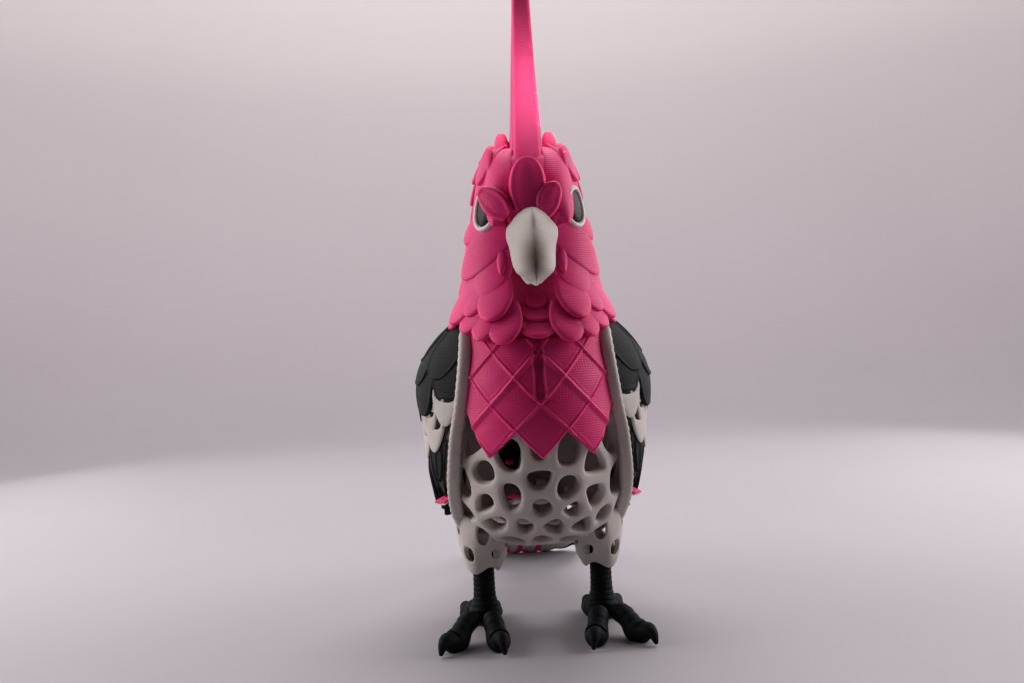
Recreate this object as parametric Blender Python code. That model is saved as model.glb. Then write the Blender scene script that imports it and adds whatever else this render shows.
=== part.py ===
"""A galah, life size, as a figurine printed in pink, light grey and dark grey plastic.

The bird stands upright on its four-toed feet and the end of its tail.  Its trunk and thighs
are an openwork shell of rounded cells, and the head, breast shield, mantle and wing feathers
are closed pieces set on that shell.  It faces -Y, with its left side at +X.
"""

import math

import bmesh
import bpy
import numpy as np

# Driving dimensions, in millimetres.  Y is counted from the legs, and the empty that carries
# every piece puts the middle of the bird's length over the origin.
MM = 0.001
LEGS_Y = -42.0
GAP = 0.4
WALL = 4.5
STRUT = 5.0

# The body in level slices: height, half width, front, widest place, back.
HEAD = [
    (117.0, 37.0, -45.5, -2.0, 43.5),
    (124.0, 36.2, -44.5, -3.0, 40.0),
    (131.0, 33.6, -41.5, -4.0, 36.0),
    (137.0, 31.4, -39.0, -6.0, 31.5),
    (145.0, 28.0, -35.5, -8.0, 23.0),
    (153.0, 26.5, -33.5, -9.0, 18.0),
    (161.5, 25.7, -34.0, -10.0, 15.5),
    (169.0, 24.5, -36.5, -11.0, 15.0),
    (177.0, 22.8, -38.5, -12.0, 15.0),
    (185.0, 21.6, -38.5, -12.0, 14.0),
    (193.0, 19.8, -35.5, -12.0, 11.0),
    (200.0, 16.4, -30.0, -12.0, 5.5),
    (204.5, 11.0, -23.5, -12.0, -1.0),
    (206.5, 4.0, -16.0, -12.0, -8.0),
]
TRUNK = [
    (34.5, 1.0, 22.0, 24.0, 26.0),
    (35.0, 10.0, 10.0, 22.0, 48.0),
    (37.5, 23.0, -6.0, 18.0, 66.0),
    (43.0, 32.5, -20.0, 12.0, 80.0),
    (50.0, 36.2, -29.5, 8.0, 89.0),
    (60.0, 38.0, -37.0, 5.0, 86.0),
    (75.0, 38.6, -42.5, 4.0, 73.0),
    (90.0, 38.4, -45.5, 3.0, 62.5),
    (105.0, 37.2, -45.5, 2.0, 52.5),
    (120.0, 34.8, -42.0, 0.0, 43.0),
    (134.0, 31.5, -38.5, -2.0, 34.0),
]
WING = [
    (28.0, 34.0, -12.0, 20.0, 127.0),
    (36.0, 36.5, -14.0, 20.0, 122.0),
    (44.0, 38.2, -20.0, 18.0, 113.0),
    (50.0, 39.5, -27.0, 16.0, 106.0),
    (55.0, 41.2, -32.0, 14.0, 101.0),
    (60.0, 43.2, -35.0, 12.0, 97.0),
    (72.0, 47.6, -40.5, 11.0, 84.0),
    (90.0, 49.6, -43.0, 10.0, 69.5),
    (105.0, 51.5, -43.5, 10.0, 59.0),
    (113.0, 50.2, -43.0, 9.0, 54.0),
    (121.0, 46.6, -42.0, 8.0, 49.0),
    (128.0, 41.6, -40.0, 6.0, 45.0),
    (134.0, 35.6, -37.0, 4.0, 41.0),
]

# Planes that part the trunk from the hood and from the tail: a point and the way out.
TRUNK_MIDDLE = np.array([0.0, 18.0, 82.0])
TRUNK_SPREAD = np.array([38.0, 62.0, 48.0])
HOOD_CUT = (np.array([0.0, -42.0, 120.5]), np.array([0.0, -0.131, 0.991]))
TAIL_CUT = (np.array([0.0, 83.0, 48.0]), np.array([0.0, 0.848, -0.530]))
HEAD_CUT = 142.5

# Where the openings of the belly lie, chosen by eye: across and up.
BELLY_OPENINGS = [
    (-12, 81), (10, 81), (21, 75), (-28, 86), (28, 84), (-1, 80), (-24, 73), (-1, 71),
    (-13, 63), (9, 66), (-1, 59), (-32, 66), (32, 65), (-33, 53), (33, 53), (-22, 60),
    (21, 62), (-18, 51), (13, 57), (-8, 49), (4, 49), (15, 48), (25, 51), (-27, 44),
    (27, 44), (-12, 42), (0, 43), (11, 41),
]
OTHER_CELLS = 118
CELL_REACH = 0.30

# How far the wing's raised front rim stands from the middle plane, from its foot up.
RIM_X = [(28, 34.5), (45, 37.2), (60, 37.0), (84, 34.2), (101, 30.8), (131, 28.8), (134, 28.6)]

CREST_TOP = 284.0
TARSUS_X = 25.0
TARSUS_RADIUS = 4.5
TOES = {
    "front_outer": (18.0, -26.5),
    "front_inner": (-7.5, -29.0),
    "rear_outer": (13.0, 24.0),
    "rear_inner": (-6.5, 25.0),
}

FINISHES = {
    "pink_plastic": ((0.83, 0.10, 0.27), 0.42),
    "light_grey_plastic": ((0.55, 0.52, 0.50), 0.55),
    "dark_grey_plastic": ((0.035, 0.039, 0.045), 0.60),
    "bone_white_plastic": ((0.60, 0.56, 0.52), 0.50),
    "eye_grey_plastic": ((0.05, 0.06, 0.07), 0.35),
}


def flow(keys, place):
    """Values of the key rows at a place, joined by cubic arcs that never pass a key."""
    keys = np.asarray(keys, float)
    at, value = keys[:, 0], keys[:, 1:]
    slope = np.diff(value, axis=0) / np.diff(at)[:, None]
    tangent = np.zeros_like(value)
    tangent[0], tangent[-1] = slope[0], slope[-1]
    same = slope[1:] * slope[:-1] > 0
    total = np.where(same, slope[1:] + slope[:-1], 1.0)
    tangent[1:-1] = np.where(same, 2.0 * slope[1:] * slope[:-1] / total, 0.0)
    place = np.clip(np.asarray(place, float), at[0], at[-1])
    i = np.clip(np.searchsorted(at, place) - 1, 0, len(at) - 2)
    step = (at[i + 1] - at[i])[..., None]
    s = (place - at[i])[..., None] / step
    return (
        (2 * s**3 - 3 * s**2 + 1) * value[i]
        + (s**3 - 2 * s**2 + s) * step * tangent[i]
        + (3 * s**2 - 2 * s**3) * value[i + 1]
        + (s**3 - s**2) * step * tangent[i + 1]
    )


def on_body(keys, angle, height):
    """The point at a compass angle, 0 in front and 90 at +X, on a level slice of the body."""
    half, front, middle, back = np.moveaxis(flow(keys, height), -1, 0)
    turn = np.radians(angle)
    depth = np.where(np.cos(turn) > 0, middle - front, back - middle)
    return np.stack([half * np.sin(turn), middle - depth * np.cos(turn), height + 0 * half], -1)


def field(keys, point):
    """Below 0 inside the body and above 0 outside: the equation of the slice's two half ellipses."""
    half, front, middle, back = np.moveaxis(flow(keys, point[..., 2]), -1, 0)
    along = point[..., 1] - middle
    along = along / np.where(along < 0, middle - front, back - middle)
    outside = (point[..., 2] < keys[0][0]) | (point[..., 2] > keys[-1][0])
    return np.where(outside, 9.0, (point[..., 0] / half) ** 2 + along**2 - 1.0)


def outward(keys, point):
    """Unit normal of the body's skin near a point: the slope of the field."""
    slope = np.zeros_like(point)
    low, high = keys[0][0] + 0.3, keys[-1][0] - 0.3
    safe = np.array(point)
    safe[..., 2] = np.clip(safe[..., 2], low, high)
    for axis in range(3):
        step = np.zeros(3)
        step[axis] = 0.25
        slope[..., axis] = field(keys, safe + step) - field(keys, safe - step)
    return slope / np.linalg.norm(slope, axis=-1, keepdims=True)


def lifted(keys, angle, height, lift):
    """A point of the body's skin moved out along its normal."""
    point = on_body(keys, angle, height)
    return point + outward(keys, point) * np.asarray(lift, float)[..., None]


def reach(keys, start, way, far):
    """How far the body's skin lies from each start along its way, by halving the stretch."""
    near, far = np.zeros(start.shape[:-1]), np.full(start.shape[:-1], float(far))
    first = field(keys, start) < 0
    for _ in range(32):
        half = (near + far) / 2
        same = (field(keys, start + way * half[..., None]) < 0) == first
        near, far = np.where(same, half, near), np.where(same, far, half)
    return near


def finish(name):
    """One printed plastic, as a Principled material that pieces share."""
    found = bpy.data.materials.get(name)
    if found:
        return found
    colour, roughness = FINISHES[name]
    made = bpy.data.materials.new(name)
    made.use_nodes = True
    shader = made.node_tree.nodes["Principled BSDF"]
    shader.inputs["Base Color"].default_value = (*colour, 1.0)
    shader.inputs["Roughness"].default_value = roughness
    shader.inputs["Metallic"].default_value = 0.0
    return made


def add_piece(name, points, faces, plastic):
    """A named object from points in millimetres and rings of indices, under the bird's empty."""
    mesh = bpy.data.meshes.new(name)
    mesh.from_pydata((np.asarray(points) * MM).tolist(), [], [list(map(int, f)) for f in faces])
    shape = bmesh.new()
    shape.from_mesh(mesh)
    bmesh.ops.recalc_face_normals(shape, faces=shape.faces)
    shape.to_mesh(mesh)
    shape.free()
    mesh.materials.append(finish(plastic))
    mesh.shade_smooth()
    mesh.set_sharp_from_angle(angle=math.radians(40))
    piece = bpy.data.objects.new(name, mesh)
    bpy.context.collection.objects.link(piece)
    piece.parent = bpy.data.objects["galah"]
    return piece


def add_shell(name, outer, inner, cells, plastic, openings=None):
    """A wall between two skins over cells, with an opening in each cell that has a share.

    An opening's rim is its cell drawn in towards the cell's centre to that share of its size.
    """
    count = len(outer)
    points, faces, edges = [*outer, *inner], [], {}
    for cell, share in zip(cells, openings or [0.0] * len(cells)):
        for a, b in zip(cell, cell[1:] + cell[:1]):
            edges[(a, b)] = edges.get((a, b), 0) + 1
        if not share:
            faces += [cell, [count + i for i in reversed(cell)]]
            continue
        rims = []
        for skin in (outer, inner):
            ring = np.array([skin[i] for i in cell])
            rims.append(list(range(len(points), len(points) + len(cell))))
            points += list(ring.mean(0) + (ring - ring.mean(0)) * share)
        for k, (a, b) in enumerate(zip(cell, cell[1:] + cell[:1])):
            n = (k + 1) % len(cell)
            faces.append([a, b, rims[0][n], rims[0][k]])
            faces.append([count + b, count + a, rims[1][k], rims[1][n]])
            faces.append([rims[0][k], rims[0][n], rims[1][n], rims[1][k]])
    for a, b in edges:
        if (b, a) not in edges:
            faces.append([b, a, count + a, count + b])
    used = sorted({i for f in faces for i in f})
    place = {old: new for new, old in enumerate(used)}
    kept = [points[i] for i in used]
    return add_piece(name, kept, [[place[i] for i in f] for f in faces], plastic)


def grid_cells(columns, rows):
    """The four-cornered cells of a grid whose points run row by row."""
    return [
        [r * (columns + 1) + c, r * (columns + 1) + c + 1,
         (r + 1) * (columns + 1) + c + 1, (r + 1) * (columns + 1) + c]
        for r in range(rows) for c in range(columns)
    ]


def add_tube(name, rings, plastic):
    """A closed solid through like rings of points, with a flat or domed face at each end."""
    size, points = len(rings[0]), np.vstack(rings)
    faces = [list(range(size))[::-1], [len(points) - size + i for i in range(size)]]
    for r in range(len(rings) - 1):
        for i in range(size):
            n = (i + 1) % size
            a, b = r * size, (r + 1) * size
            faces.append([a + i, a + n, b + n, b + i])
    return add_piece(name, points, faces, plastic)


def cut_height(angle, keys, plane, lift):
    """Height at which a body's skin crosses a plane lifted by a small amount."""
    origin, normal = plane
    height = np.full(np.shape(angle), origin[2])
    for _ in range(12):
        point = on_body(keys, angle, height)
        height = origin[2] + (lift - (point[..., 1] - origin[1]) * normal[1]) / normal[2]
    return height


def hem_level(angle):
    """Height of the points of the hood's lower edge: low in front, high over the wings."""
    a = np.abs((np.asarray(angle) + 180) % 360 - 180)
    return flow([(0, 119.6), (25, 121), (40, 124.5), (62, 130.3), (95, 131.5), (140, 128.5),
                 (180, 126)], a)[..., 0]


def hood_hem(angle):
    """Height of the hood's lower edge, cut in eleven lobes."""
    return hem_level(angle) + 1.6 * np.abs(np.cos(np.radians(angle) * 5.5)) ** 0.7


def build_head():
    """The solid pink head, in level slices from the cut above the hood to the crown."""
    angles = np.arange(0, 360, 18.0)
    heights = [HEAD_CUT, 149, 156, 163, 170, 177, 184, 190, 195.5, 200.5, 204.3, 206.2]
    rings = []
    for height in heights:
        brow = 1.4 * np.exp(-(((height - 184) / 6) ** 2)) * np.exp(-((np.abs(
            (angles + 180) % 360 - 180) - 42) / 14) ** 2)
        cheek = 1.2 * np.exp(-(((height - 156) / 9) ** 2)) * np.exp(-((np.abs(
            (angles + 180) % 360 - 180) - 38) / 16) ** 2)
        throat = -2.5 * np.exp(-(((height - 146) / 8) ** 2)) * np.exp(-(((
            (angles + 180) % 360 - 180)) / 20) ** 2)
        rings.append(lifted(HEAD, angles, np.full(angles.shape, float(height)),
                            brow + cheek + throat))
        rings[-1][:, 2] = height
    add_tube("head", rings, "pink_plastic")


def build_hood():
    """The pink hood: a plug on the trunk's rim with a lobed skirt over the shield and wings."""
    angles = np.arange(0, 360, 12.0)
    hem = hood_hem(angles)
    floor = cut_height(angles, TRUNK, HOOD_CUT, GAP)
    ones = np.ones_like(angles)
    rings = [
        on_body(HEAD, angles, ones * (HEAD_CUT - GAP)),
        on_body(HEAD, angles, (HEAD_CUT - GAP + hem) / 2),
        lifted(HEAD, angles, hem + 0.6, 0.6 * ones),
        lifted(TRUNK, angles, hem, 2.3 * ones),
        on_body(TRUNK, angles, hem),
        on_body(TRUNK, angles, floor),
    ]
    add_tube("hood", rings, "pink_plastic")


def crown_height(across, along):
    """Height of the crown over a place, from the head's own slices."""
    start = np.stack([across, along, np.full(np.shape(across), 180.0)], -1)
    way = np.zeros_like(start)
    way[..., 2] = 1.0
    return 180.0 + reach(HEAD, start, way, 26.0)


def build_crest():
    """The raised crest: a fan of six overlapping feathers in the middle plane, thin at the top."""
    feathers, steps = 6, 5
    root_y = np.linspace(-31.0, 1.0, feathers * 2 + 1)
    share = np.linspace(0.0, 1.0, feathers * 2 + 1)
    tip = flow([(0, -37.0, CREST_TOP - 3), (0.12, -33.0, CREST_TOP), (0.3, -25.0, 276.0),
                (0.5, -11.0, 262.0), (0.75, 6.0, 241.0), (1.0, 17.0, 219.0)], share)
    notch = 5.0 * (1 - np.abs(np.sin(np.pi * share * feathers + 0.35))) * (share > 0.1)
    rows = []
    for s in np.linspace(0.0, 1.0, steps):
        low = crown_height(0 * root_y, root_y) + GAP
        along = root_y + (tip[:, 0] - root_y) * s
        up = low + (tip[:, 1] - notch - low) * s
        rows.append(np.stack([0 * along, along, up], -1))
    middle = np.vstack(rows)
    depth = np.tile(share, steps)
    narrow = flow([(195, 4.3), (215, 4.0), (240, 2.9), (262, 2.4), (285, 1.6)], middle[:, 2])[:, 0]
    broad = flow([(195, 6.6), (212, 6.3), (228, 5.2), (244, 3.9), (262, 3.1), (285, 1.6)],
                 middle[:, 2])[:, 0]
    half = narrow + (broad - narrow) * np.clip(depth / 0.12, 0, 1)
    half = half * (1 - 0.35 * np.clip((depth - 0.7) / 0.3, 0, 1))
    side = np.zeros_like(middle)
    side[:, 0] = half
    right, left = middle + side, middle - side
    add_shell("crest", right, left, grid_cells(feathers * 2, steps - 1), "pink_plastic")


def build_crown_tufts():
    """The short tuft at each side of the crest: a curved leaf that stands on the crown."""
    for sign, side in ((1, "l"), (-1, "r")):
        rings = []
        for s, wide, thick in ((0, 4.2, 2.6), (0.35, 4.4, 2.4), (0.7, 3.2, 1.7), (1, 1.2, 0.6)):
            centre = np.array([9.6 - 0.4 * s, -17.0 + 7.0 * s, 0.0])
            turn = np.radians(np.arange(0, 360, 45))
            ring = centre + np.stack([thick * np.cos(turn), wide * np.sin(turn), 0 * turn], -1)
            root = crown_height(ring[:, 0], ring[:, 1]) + GAP
            top = 209.6 - 0.12 * (ring[:, 1] + 10.0) ** 2 * (1 - s) * 0.2
            ring[:, 2] = root * (1 - s) + top * s
            ring[:, 0] *= sign
            rings.append(ring)
        add_tube(f"crown_tuft_{side}", rings, "pink_plastic")


def build_beak():
    """The white bill: a keeled, hooked upper half and the small lower half behind its hook."""
    upper = [
        # height, half width, front, back
        (144.2, 0.9, -53.4, -51.0), (147.0, 3.2, -55.2, -49.8), (151.0, 6.2, -56.8, -48.6),
        (155.0, 8.6, -57.4, -42.0), (160.0, 9.9, -57.3, -36.0), (165.0, 10.3, -55.6, -30.0),
        (169.5, 8.8, -52.6, -30.0), (172.8, 6.0, -48.6, -30.0), (174.4, 3.9, -44.6, -30.0),
    ]
    turn = np.radians(np.linspace(90, -90, 9))
    rings = []
    for height, half, front, back in upper:
        across = half * np.sin(turn)
        face = on_body(HEAD, np.degrees(np.arcsin(across / 26.0)), np.full(across.shape, height))
        face_y = face[:, 1] - GAP - 0.9
        rear = np.minimum(face_y, back)
        side = min(rear[0], -40.0) if height > 152 else rear[0] - 0.3
        keel = side + (front - side) * (1 - np.abs(np.sin(turn)) ** 1.7)
        keel = np.minimum(keel, rear - 0.25)
        front_row = np.stack([across, keel, np.full(across.shape, height)], -1)
        rear_row = np.stack([across, rear, np.full(across.shape, height)], -1)[::-1]
        rings.append(np.vstack([front_row, rear_row[1:-1]]))
    add_tube("beak_upper", rings, "bone_white_plastic")
    rings = []
    for height, half, front, back in (
        (145.6, 4.4, -44.6, -34.4), (147.4, 6.6, -46.6, -34.2), (150.0, 7.4, -46.8, -34.0),
        (152.2, 6.8, -44.2, -34.2),
    ):
        turn = np.radians(np.arange(0, 360, 30))
        middle, depth = (front + back) / 2, (back - front) / 2
        height_row = np.full(turn.shape, height)
        row = np.stack([half * np.sin(turn), middle - depth * np.cos(turn), height_row], -1)
        rings.append(row)
    add_tube("beak_lower", rings, "bone_white_plastic")


EYE_ANGLE, EYE_HEIGHT, EYE_TILT = 55.0, 176.0, 14.0


def eye_place(radius_long, radius_short, turn, lift):
    """Points round the eye on the head's skin: an ellipse, tilted back at its top, and lifted."""
    long, short = radius_long * np.cos(turn), radius_short * np.sin(turn)
    tilt = math.radians(EYE_TILT)
    up = long * math.cos(tilt) - short * math.sin(tilt)
    back = long * math.sin(tilt) + short * math.cos(tilt)
    angle = EYE_ANGLE + np.degrees(back / 23.5)
    return lifted(HEAD, angle, EYE_HEIGHT + up, lift + 0 * turn)


def build_eyes():
    """Each eye: a raised oval ring on the head and a low dark dome inside it."""
    turn = np.radians(np.arange(0, 360, 30.0))
    sizes = {"ring": (8.2, 6.2, 5.8, 4.0), "dome": (5.4, 3.6)}
    outer_long, outer_short, inner_long, inner_short = sizes["ring"]
    dome_long, dome_short = sizes["dome"]
    for sign, side in ((1, "l"), (-1, "r")):
        mirror = np.array([sign, 1.0, 1.0])
        rows = [
            eye_place(outer_long, outer_short, turn, 0.75), eye_place(7.2, 5.2, turn, 1.8),
            eye_place(inner_long, inner_short, turn, 1.7),
            eye_place(inner_long, inner_short, turn, 0.75),
        ]
        size = len(turn)
        faces = [
            [r * size + i, r * size + (i + 1) % size,
             ((r + 1) % 4) * size + (i + 1) % size, ((r + 1) % 4) * size + i]
            for r in range(4) for i in range(size)
        ]
        add_piece(f"eye_ring_{side}", np.vstack(rows) * mirror, faces, "bone_white_plastic")
        rings = [
            eye_place(dome_long, dome_short, turn, 0.5), eye_place(dome_long, dome_short, turn, 0.9),
            eye_place(3.6, 2.4, turn, 1.6), eye_place(1.6, 1.1, turn, 1.9),
        ]
        add_tube(f"eye_{side}", [ring * mirror for ring in rings], "eye_grey_plastic")


def voronoi_cells(seeds):
    """The cells of points on a sphere: each cell's corners, in order, as directions."""
    hull = bmesh.new()
    for seed in seeds:
        hull.verts.new(seed)
    bmesh.ops.convex_hull(hull, input=hull.verts[:])
    hull.verts.ensure_lookup_table()
    hull.faces.index_update()
    hull.normal_update()
    corners = np.array([face.normal for face in hull.faces])
    cells = []
    for vert in hull.verts:
        if not vert.link_loops:
            continue
        loop = start = vert.link_loops[0]
        ring = []
        while True:
            ring.append(loop.face.index)
            loop = loop.link_loop_prev.link_loop_radial_next
            if loop == start:
                break
        cells.append(ring)
    hull.free()
    return corners, cells


def trunk_seeds():
    """Directions of the openings: the chosen ones on the belly, and a spiral with some play."""
    across = np.array([p[0] for p in BELLY_OPENINGS], float)
    up = np.array([p[1] for p in BELLY_OPENINGS], float)
    half, front, middle, _ = np.moveaxis(flow(TRUNK, up), -1, 0)
    along = middle - (middle - front) * np.sqrt(np.clip(1 - (across / half) ** 2, 0, 1))
    chosen = (np.stack([across, along, up], -1) - TRUNK_MIDDLE) / TRUNK_SPREAD
    chosen /= np.linalg.norm(chosen, axis=1, keepdims=True)
    rng = np.random.default_rng(7)
    order = np.arange(OTHER_CELLS) + 0.5
    level = 1 - 2 * order / OTHER_CELLS
    turn = order * math.pi * (3 - math.sqrt(5))
    flat = np.sqrt(1 - level**2)
    spiral = np.stack([flat * np.cos(turn), flat * np.sin(turn), level], -1)
    spiral += rng.normal(0, 0.045, spiral.shape)
    spiral /= np.linalg.norm(spiral, axis=1, keepdims=True)
    apart = np.linalg.norm(spiral[:, None] - chosen[None], axis=2).min(1)
    return np.vstack([chosen, spiral[apart > CELL_REACH * 0.85]])


def trim(points, cells, plane):
    """Cells and double points cut along a plane, with each new corner shared by its neighbours."""
    origin, normal = plane
    points = [p.copy() for p in points]
    height = [float((p[:3] - origin) @ normal) for p in points]
    for i, h in enumerate(height):
        if abs(h) < 1.2:
            points[i][:3] -= normal * h
            height[i] = 0.0
    made, kept = {}, []
    for cell in cells:
        ring = []
        for a, b in zip(cell, cell[1:] + cell[:1]):
            if height[a] <= 0:
                ring.append(a)
            if height[a] * height[b] < 0:
                key = (min(a, b), max(a, b))
                if key not in made:
                    share = height[a] / (height[a] - height[b])
                    made[key] = len(points)
                    points.append(points[a] + share * (points[b] - points[a]))
                    height.append(0.0)
                ring.append(made[key])
        if len(ring) > 2:
            kept.append(ring)
    for p in points:
        p[3:] -= normal * max(0.0, float((p[3:] - origin) @ normal))
    return points, kept


def trunk_panel(centre):
    """The name of the trunk's panel that a cell's centre falls in."""
    across, along, up = centre
    if abs(across) > 27.5 and up > 50:
        return "trunk_flank_l" if across > 0 else "trunk_flank_r"
    if along < 14:
        return "trunk_breast" if up > 89 else "trunk_belly"
    if up < 55:
        return "trunk_vent"
    return "trunk_back" if up > 84 else "trunk_rump"


def shows(centre):
    """Whether no shield, mantle or wing covers a cell: only such cells are open."""
    across, along, up = centre
    wing_low = 58.0 - 0.22 * max(0.0, along - 10.0)
    under_wing = abs(across) > 24.0 and up > wing_low and along > -16.0
    under_shield = along < 10.0 and up > 91.0
    under_mantle = along > 10.0 and up > 88.0
    return not (under_wing or under_shield or under_mantle)


def build_trunk():
    """The trunk's openwork wall, in panels that meet along the middle of a strut."""
    corners, cells = voronoi_cells(trunk_seeds())
    way = corners * TRUNK_SPREAD
    way /= np.linalg.norm(way, axis=1, keepdims=True)
    start = np.tile(TRUNK_MIDDLE, (len(way), 1))
    skin = start + way * reach(TRUNK, start, way, 120.0)[:, None]
    slant = np.clip((outward(TRUNK, skin) * way).sum(1, keepdims=True), 0.6, 1.0)
    points = list(np.hstack([skin, skin - way * WALL / slant]))
    for plane in (HOOD_CUT, TAIL_CUT):
        points, cells = trim(points, cells, plane)
    points = np.array(points)
    panels = {}
    for cell in cells:
        panels.setdefault(trunk_panel(points[cell, :3].mean(0)), []).append(cell)
    for name, own in sorted(panels.items()):
        corner_use = {}
        for cell in own:
            for i in cell:
                corner_use.setdefault(i, []).append(points[cell].mean(0))
        everywhere = {}
        for cell in cells:
            for i in cell:
                everywhere[i] = everywhere.get(i, 0) + 1
        moved = points.copy()
        for i, centres in corner_use.items():
            if len(centres) < everywhere[i]:
                pull = np.mean(centres, axis=0) - points[i]
                moved[i, :3] += pull[:3] / np.linalg.norm(pull[:3]) * GAP
                moved[i, 3:] += pull[3:] / np.linalg.norm(pull[3:]) * GAP
        shares = []
        for cell in own:
            ring = moved[cell, :3]
            centre = ring.mean(0)
            half_edge = (ring + np.roll(ring, -1, 0)) / 2
            room = np.linalg.norm(half_edge - centre, axis=1).mean()
            share = 1 - STRUT / 2 / room
            shares.append(share if shows(centre) and room > STRUT * 0.95 else 0.0)
        add_shell(name, moved[:, :3], moved[:, 3:], own, "light_grey_plastic", shares)


def slab_on(keys, across, rows, place, low, high):
    """Two skins over a body's surface at a low and a high lift: place gives angle and height."""
    u, v = np.meshgrid(across, np.linspace(0, 1, rows + 1))
    angle, height = place(u.ravel(), v.ravel())
    top = high(u.ravel(), v.ravel()) if callable(high) else np.full(u.size, high)
    return lifted(keys, angle, height, top), lifted(keys, angle, height, np.full(u.size, low))


SHIELD_ANGLE = 48.0
SHIELD_MARGIN = 3.2


def shield_edge(u):
    """Lower edge of the breast shield: three points, the middle one lowest."""
    fold = np.abs(((u - 0.5) * 3.2 + 0.5) % 1.0 - 0.5) * 2
    return 79.5 + 12.0 * fold + 1.0 * (2 * np.abs(u - 0.5)) ** 2


def build_shield():
    """The pink breast shield, a plate over the closed part of the trunk with a zigzag edge."""
    def place(u, v):
        top = hem_level((u - 0.5) * 2 * SHIELD_ANGLE) - 1.6
        height = top + (shield_edge(u) - top) * v
        half = flow(RIM_X, height)[..., 0] - SHIELD_MARGIN
        across = half / flow(TRUNK, height)[..., 0]
        return (u - 0.5) * 2 * np.degrees(np.arcsin(across)), height

    def proud(u, v):
        net = np.minimum(np.abs(np.sin(np.pi * (u * 3.2 + v * 2.0 + 0.1))),
                         np.abs(np.sin(np.pi * (u * 3.2 - v * 2.0 - 0.1))))
        return 2.0 + 0.5 * (1 - net) ** 3

    outer, inner = slab_on(TRUNK, np.linspace(0, 1, 17), 4, place, GAP + 0.15, proud)
    add_shell("breast_shield", outer, inner, grid_cells(16, 4), "pink_plastic")


MANTLE_HALF = 13.2


def build_mantle():
    """The dark scales of the upper back, one lobed plate between the wings."""
    def place(u, v):
        top = 124.5 - 3.0 * (2 * u - 1) ** 2
        low = 86.0 + 3.5 * np.abs(np.cos(np.pi * u * 2.5))
        height = top + (low - top) * v
        half = flow(TRUNK, height)[..., 0]
        return 180 + np.degrees(np.arcsin((u - 0.5) * 2 * MANTLE_HALF / half)), height

    outer, inner = slab_on(TRUNK, np.linspace(0, 1, 11), 4, place, GAP + 0.15, 2.4)
    add_shell("mantle", outer, inner, grid_cells(10, 4), "dark_grey_plastic")


WING_REAR = 162.0
RIM_WIDTH, RIM_SHARE = 4.0, 0.04


def wing_angle(across, height):
    """Compass angle at which the wing's skin stands at a distance from the middle plane."""
    half = flow(WING, height)[..., 0]
    return np.degrees(np.arcsin(np.clip(across / half, 0, 0.9999)))


def wing_rows(u):
    """Heights of the lines that part the wing's rows, from its front edge back: five of them."""
    return np.moveaxis(flow([
        (0.0, 128.0, 104.0, 86.0, 59.0, 52.5), (0.15, 131.0, 97.5, 78.5, 56.0, 47.5),
        (0.36, 131.5, 93.5, 75.5, 54.0, 44.5), (0.64, 129.0, 85.0, 65.5, 50.0, 40.0),
        (0.85, 124.5, 77.5, 57.0, 43.0, 34.5), (1.0, 119.0, 72.0, 51.0, 37.0, 30.5),
    ], u), -1, 0)


def build_wings():
    """Each wing: a light plate with a raised front rim, then three rows of feathers on it."""
    def band(top, low, start, lobes, depth):
        def place(u, v):
            rows = wing_rows(u)
            tip = np.where(v > 0.5, depth * (1 - np.abs(np.sin(np.pi * lobes * u))), 0.0) * v
            height = rows[top] - start + (rows[low] + GAP - rows[top] + start) * v + tip
            front = wing_angle(flow(RIM_X, height)[..., 0] + RIM_WIDTH + 0.7, height)
            return front + (WING_REAR - front) * u, height
        return place

    def plate_place(u, v):
        rows = wing_rows(u)
        height = rows[0] - 2.4 + (rows[3] - rows[0] + 2.4 + 8.0 * u**3) * v
        edge = wing_angle(flow(RIM_X, height)[..., 0], height)
        inside = wing_angle(flow(RIM_X, height)[..., 0] + RIM_WIDTH, height)
        on_rim = edge + (inside - edge) * u / RIM_SHARE
        behind = inside + (WING_REAR - 4.0 - inside) * (u - RIM_SHARE) / (1 - RIM_SHARE)
        return np.where(u <= RIM_SHARE, on_rim, behind), height

    def plate_lift(u, v):
        return np.where(u <= RIM_SHARE, 0.9, -3.5)

    for sign, side in ((1, "l"), (-1, "r")):
        mirror = np.array([sign, 1.0, 1.0])
        across = np.concatenate([[0, RIM_SHARE], np.linspace(RIM_SHARE + 0.008, 1, 11)])
        outer, _ = slab_on(WING, across, 6, plate_place, 0.0, plate_lift)
        way = -outward(WING, outer)
        depth = reach(TRUNK, outer, way, 16.0)
        depth = np.where(depth > 15.0, 1.4, np.clip(depth - GAP - 2.0, 0.7, 10.0))
        inner = outer + way * depth[:, None]
        add_shell(f"wing_plate_{side}", outer * mirror, inner * mirror, grid_cells(12, 6),
                  "light_grey_plastic")
        outer, inner = slab_on(WING, np.linspace(0, 1, 22), 3, band(0, 1, 0.0, 7, 3.0), -2.4, 0.0)
        add_shell(f"wing_shoulder_{side}", outer * mirror, inner * mirror, grid_cells(21, 3),
                  "dark_grey_plastic")
        outer, inner = slab_on(WING, np.linspace(0, 1, 13), 2, band(1, 2, GAP, 6, 3.0), -2.4, -0.6)
        shares = [0.5 if (c + r) % 2 and 0 < c < 11 else 0.0 for r in range(2) for c in range(12)]
        add_shell(f"wing_coverts_{side}", outer * mirror, inner * mirror, grid_cells(12, 2),
                  "light_grey_plastic", shares)
        outer, inner = slab_on(WING, np.linspace(0, 1, 19), 2, band(2, 4, GAP, 6, 2.4), -2.2, -0.9)
        add_shell(f"wing_flights_{side}", outer * mirror, inner * mirror, grid_cells(18, 2),
                  "dark_grey_plastic")


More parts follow.
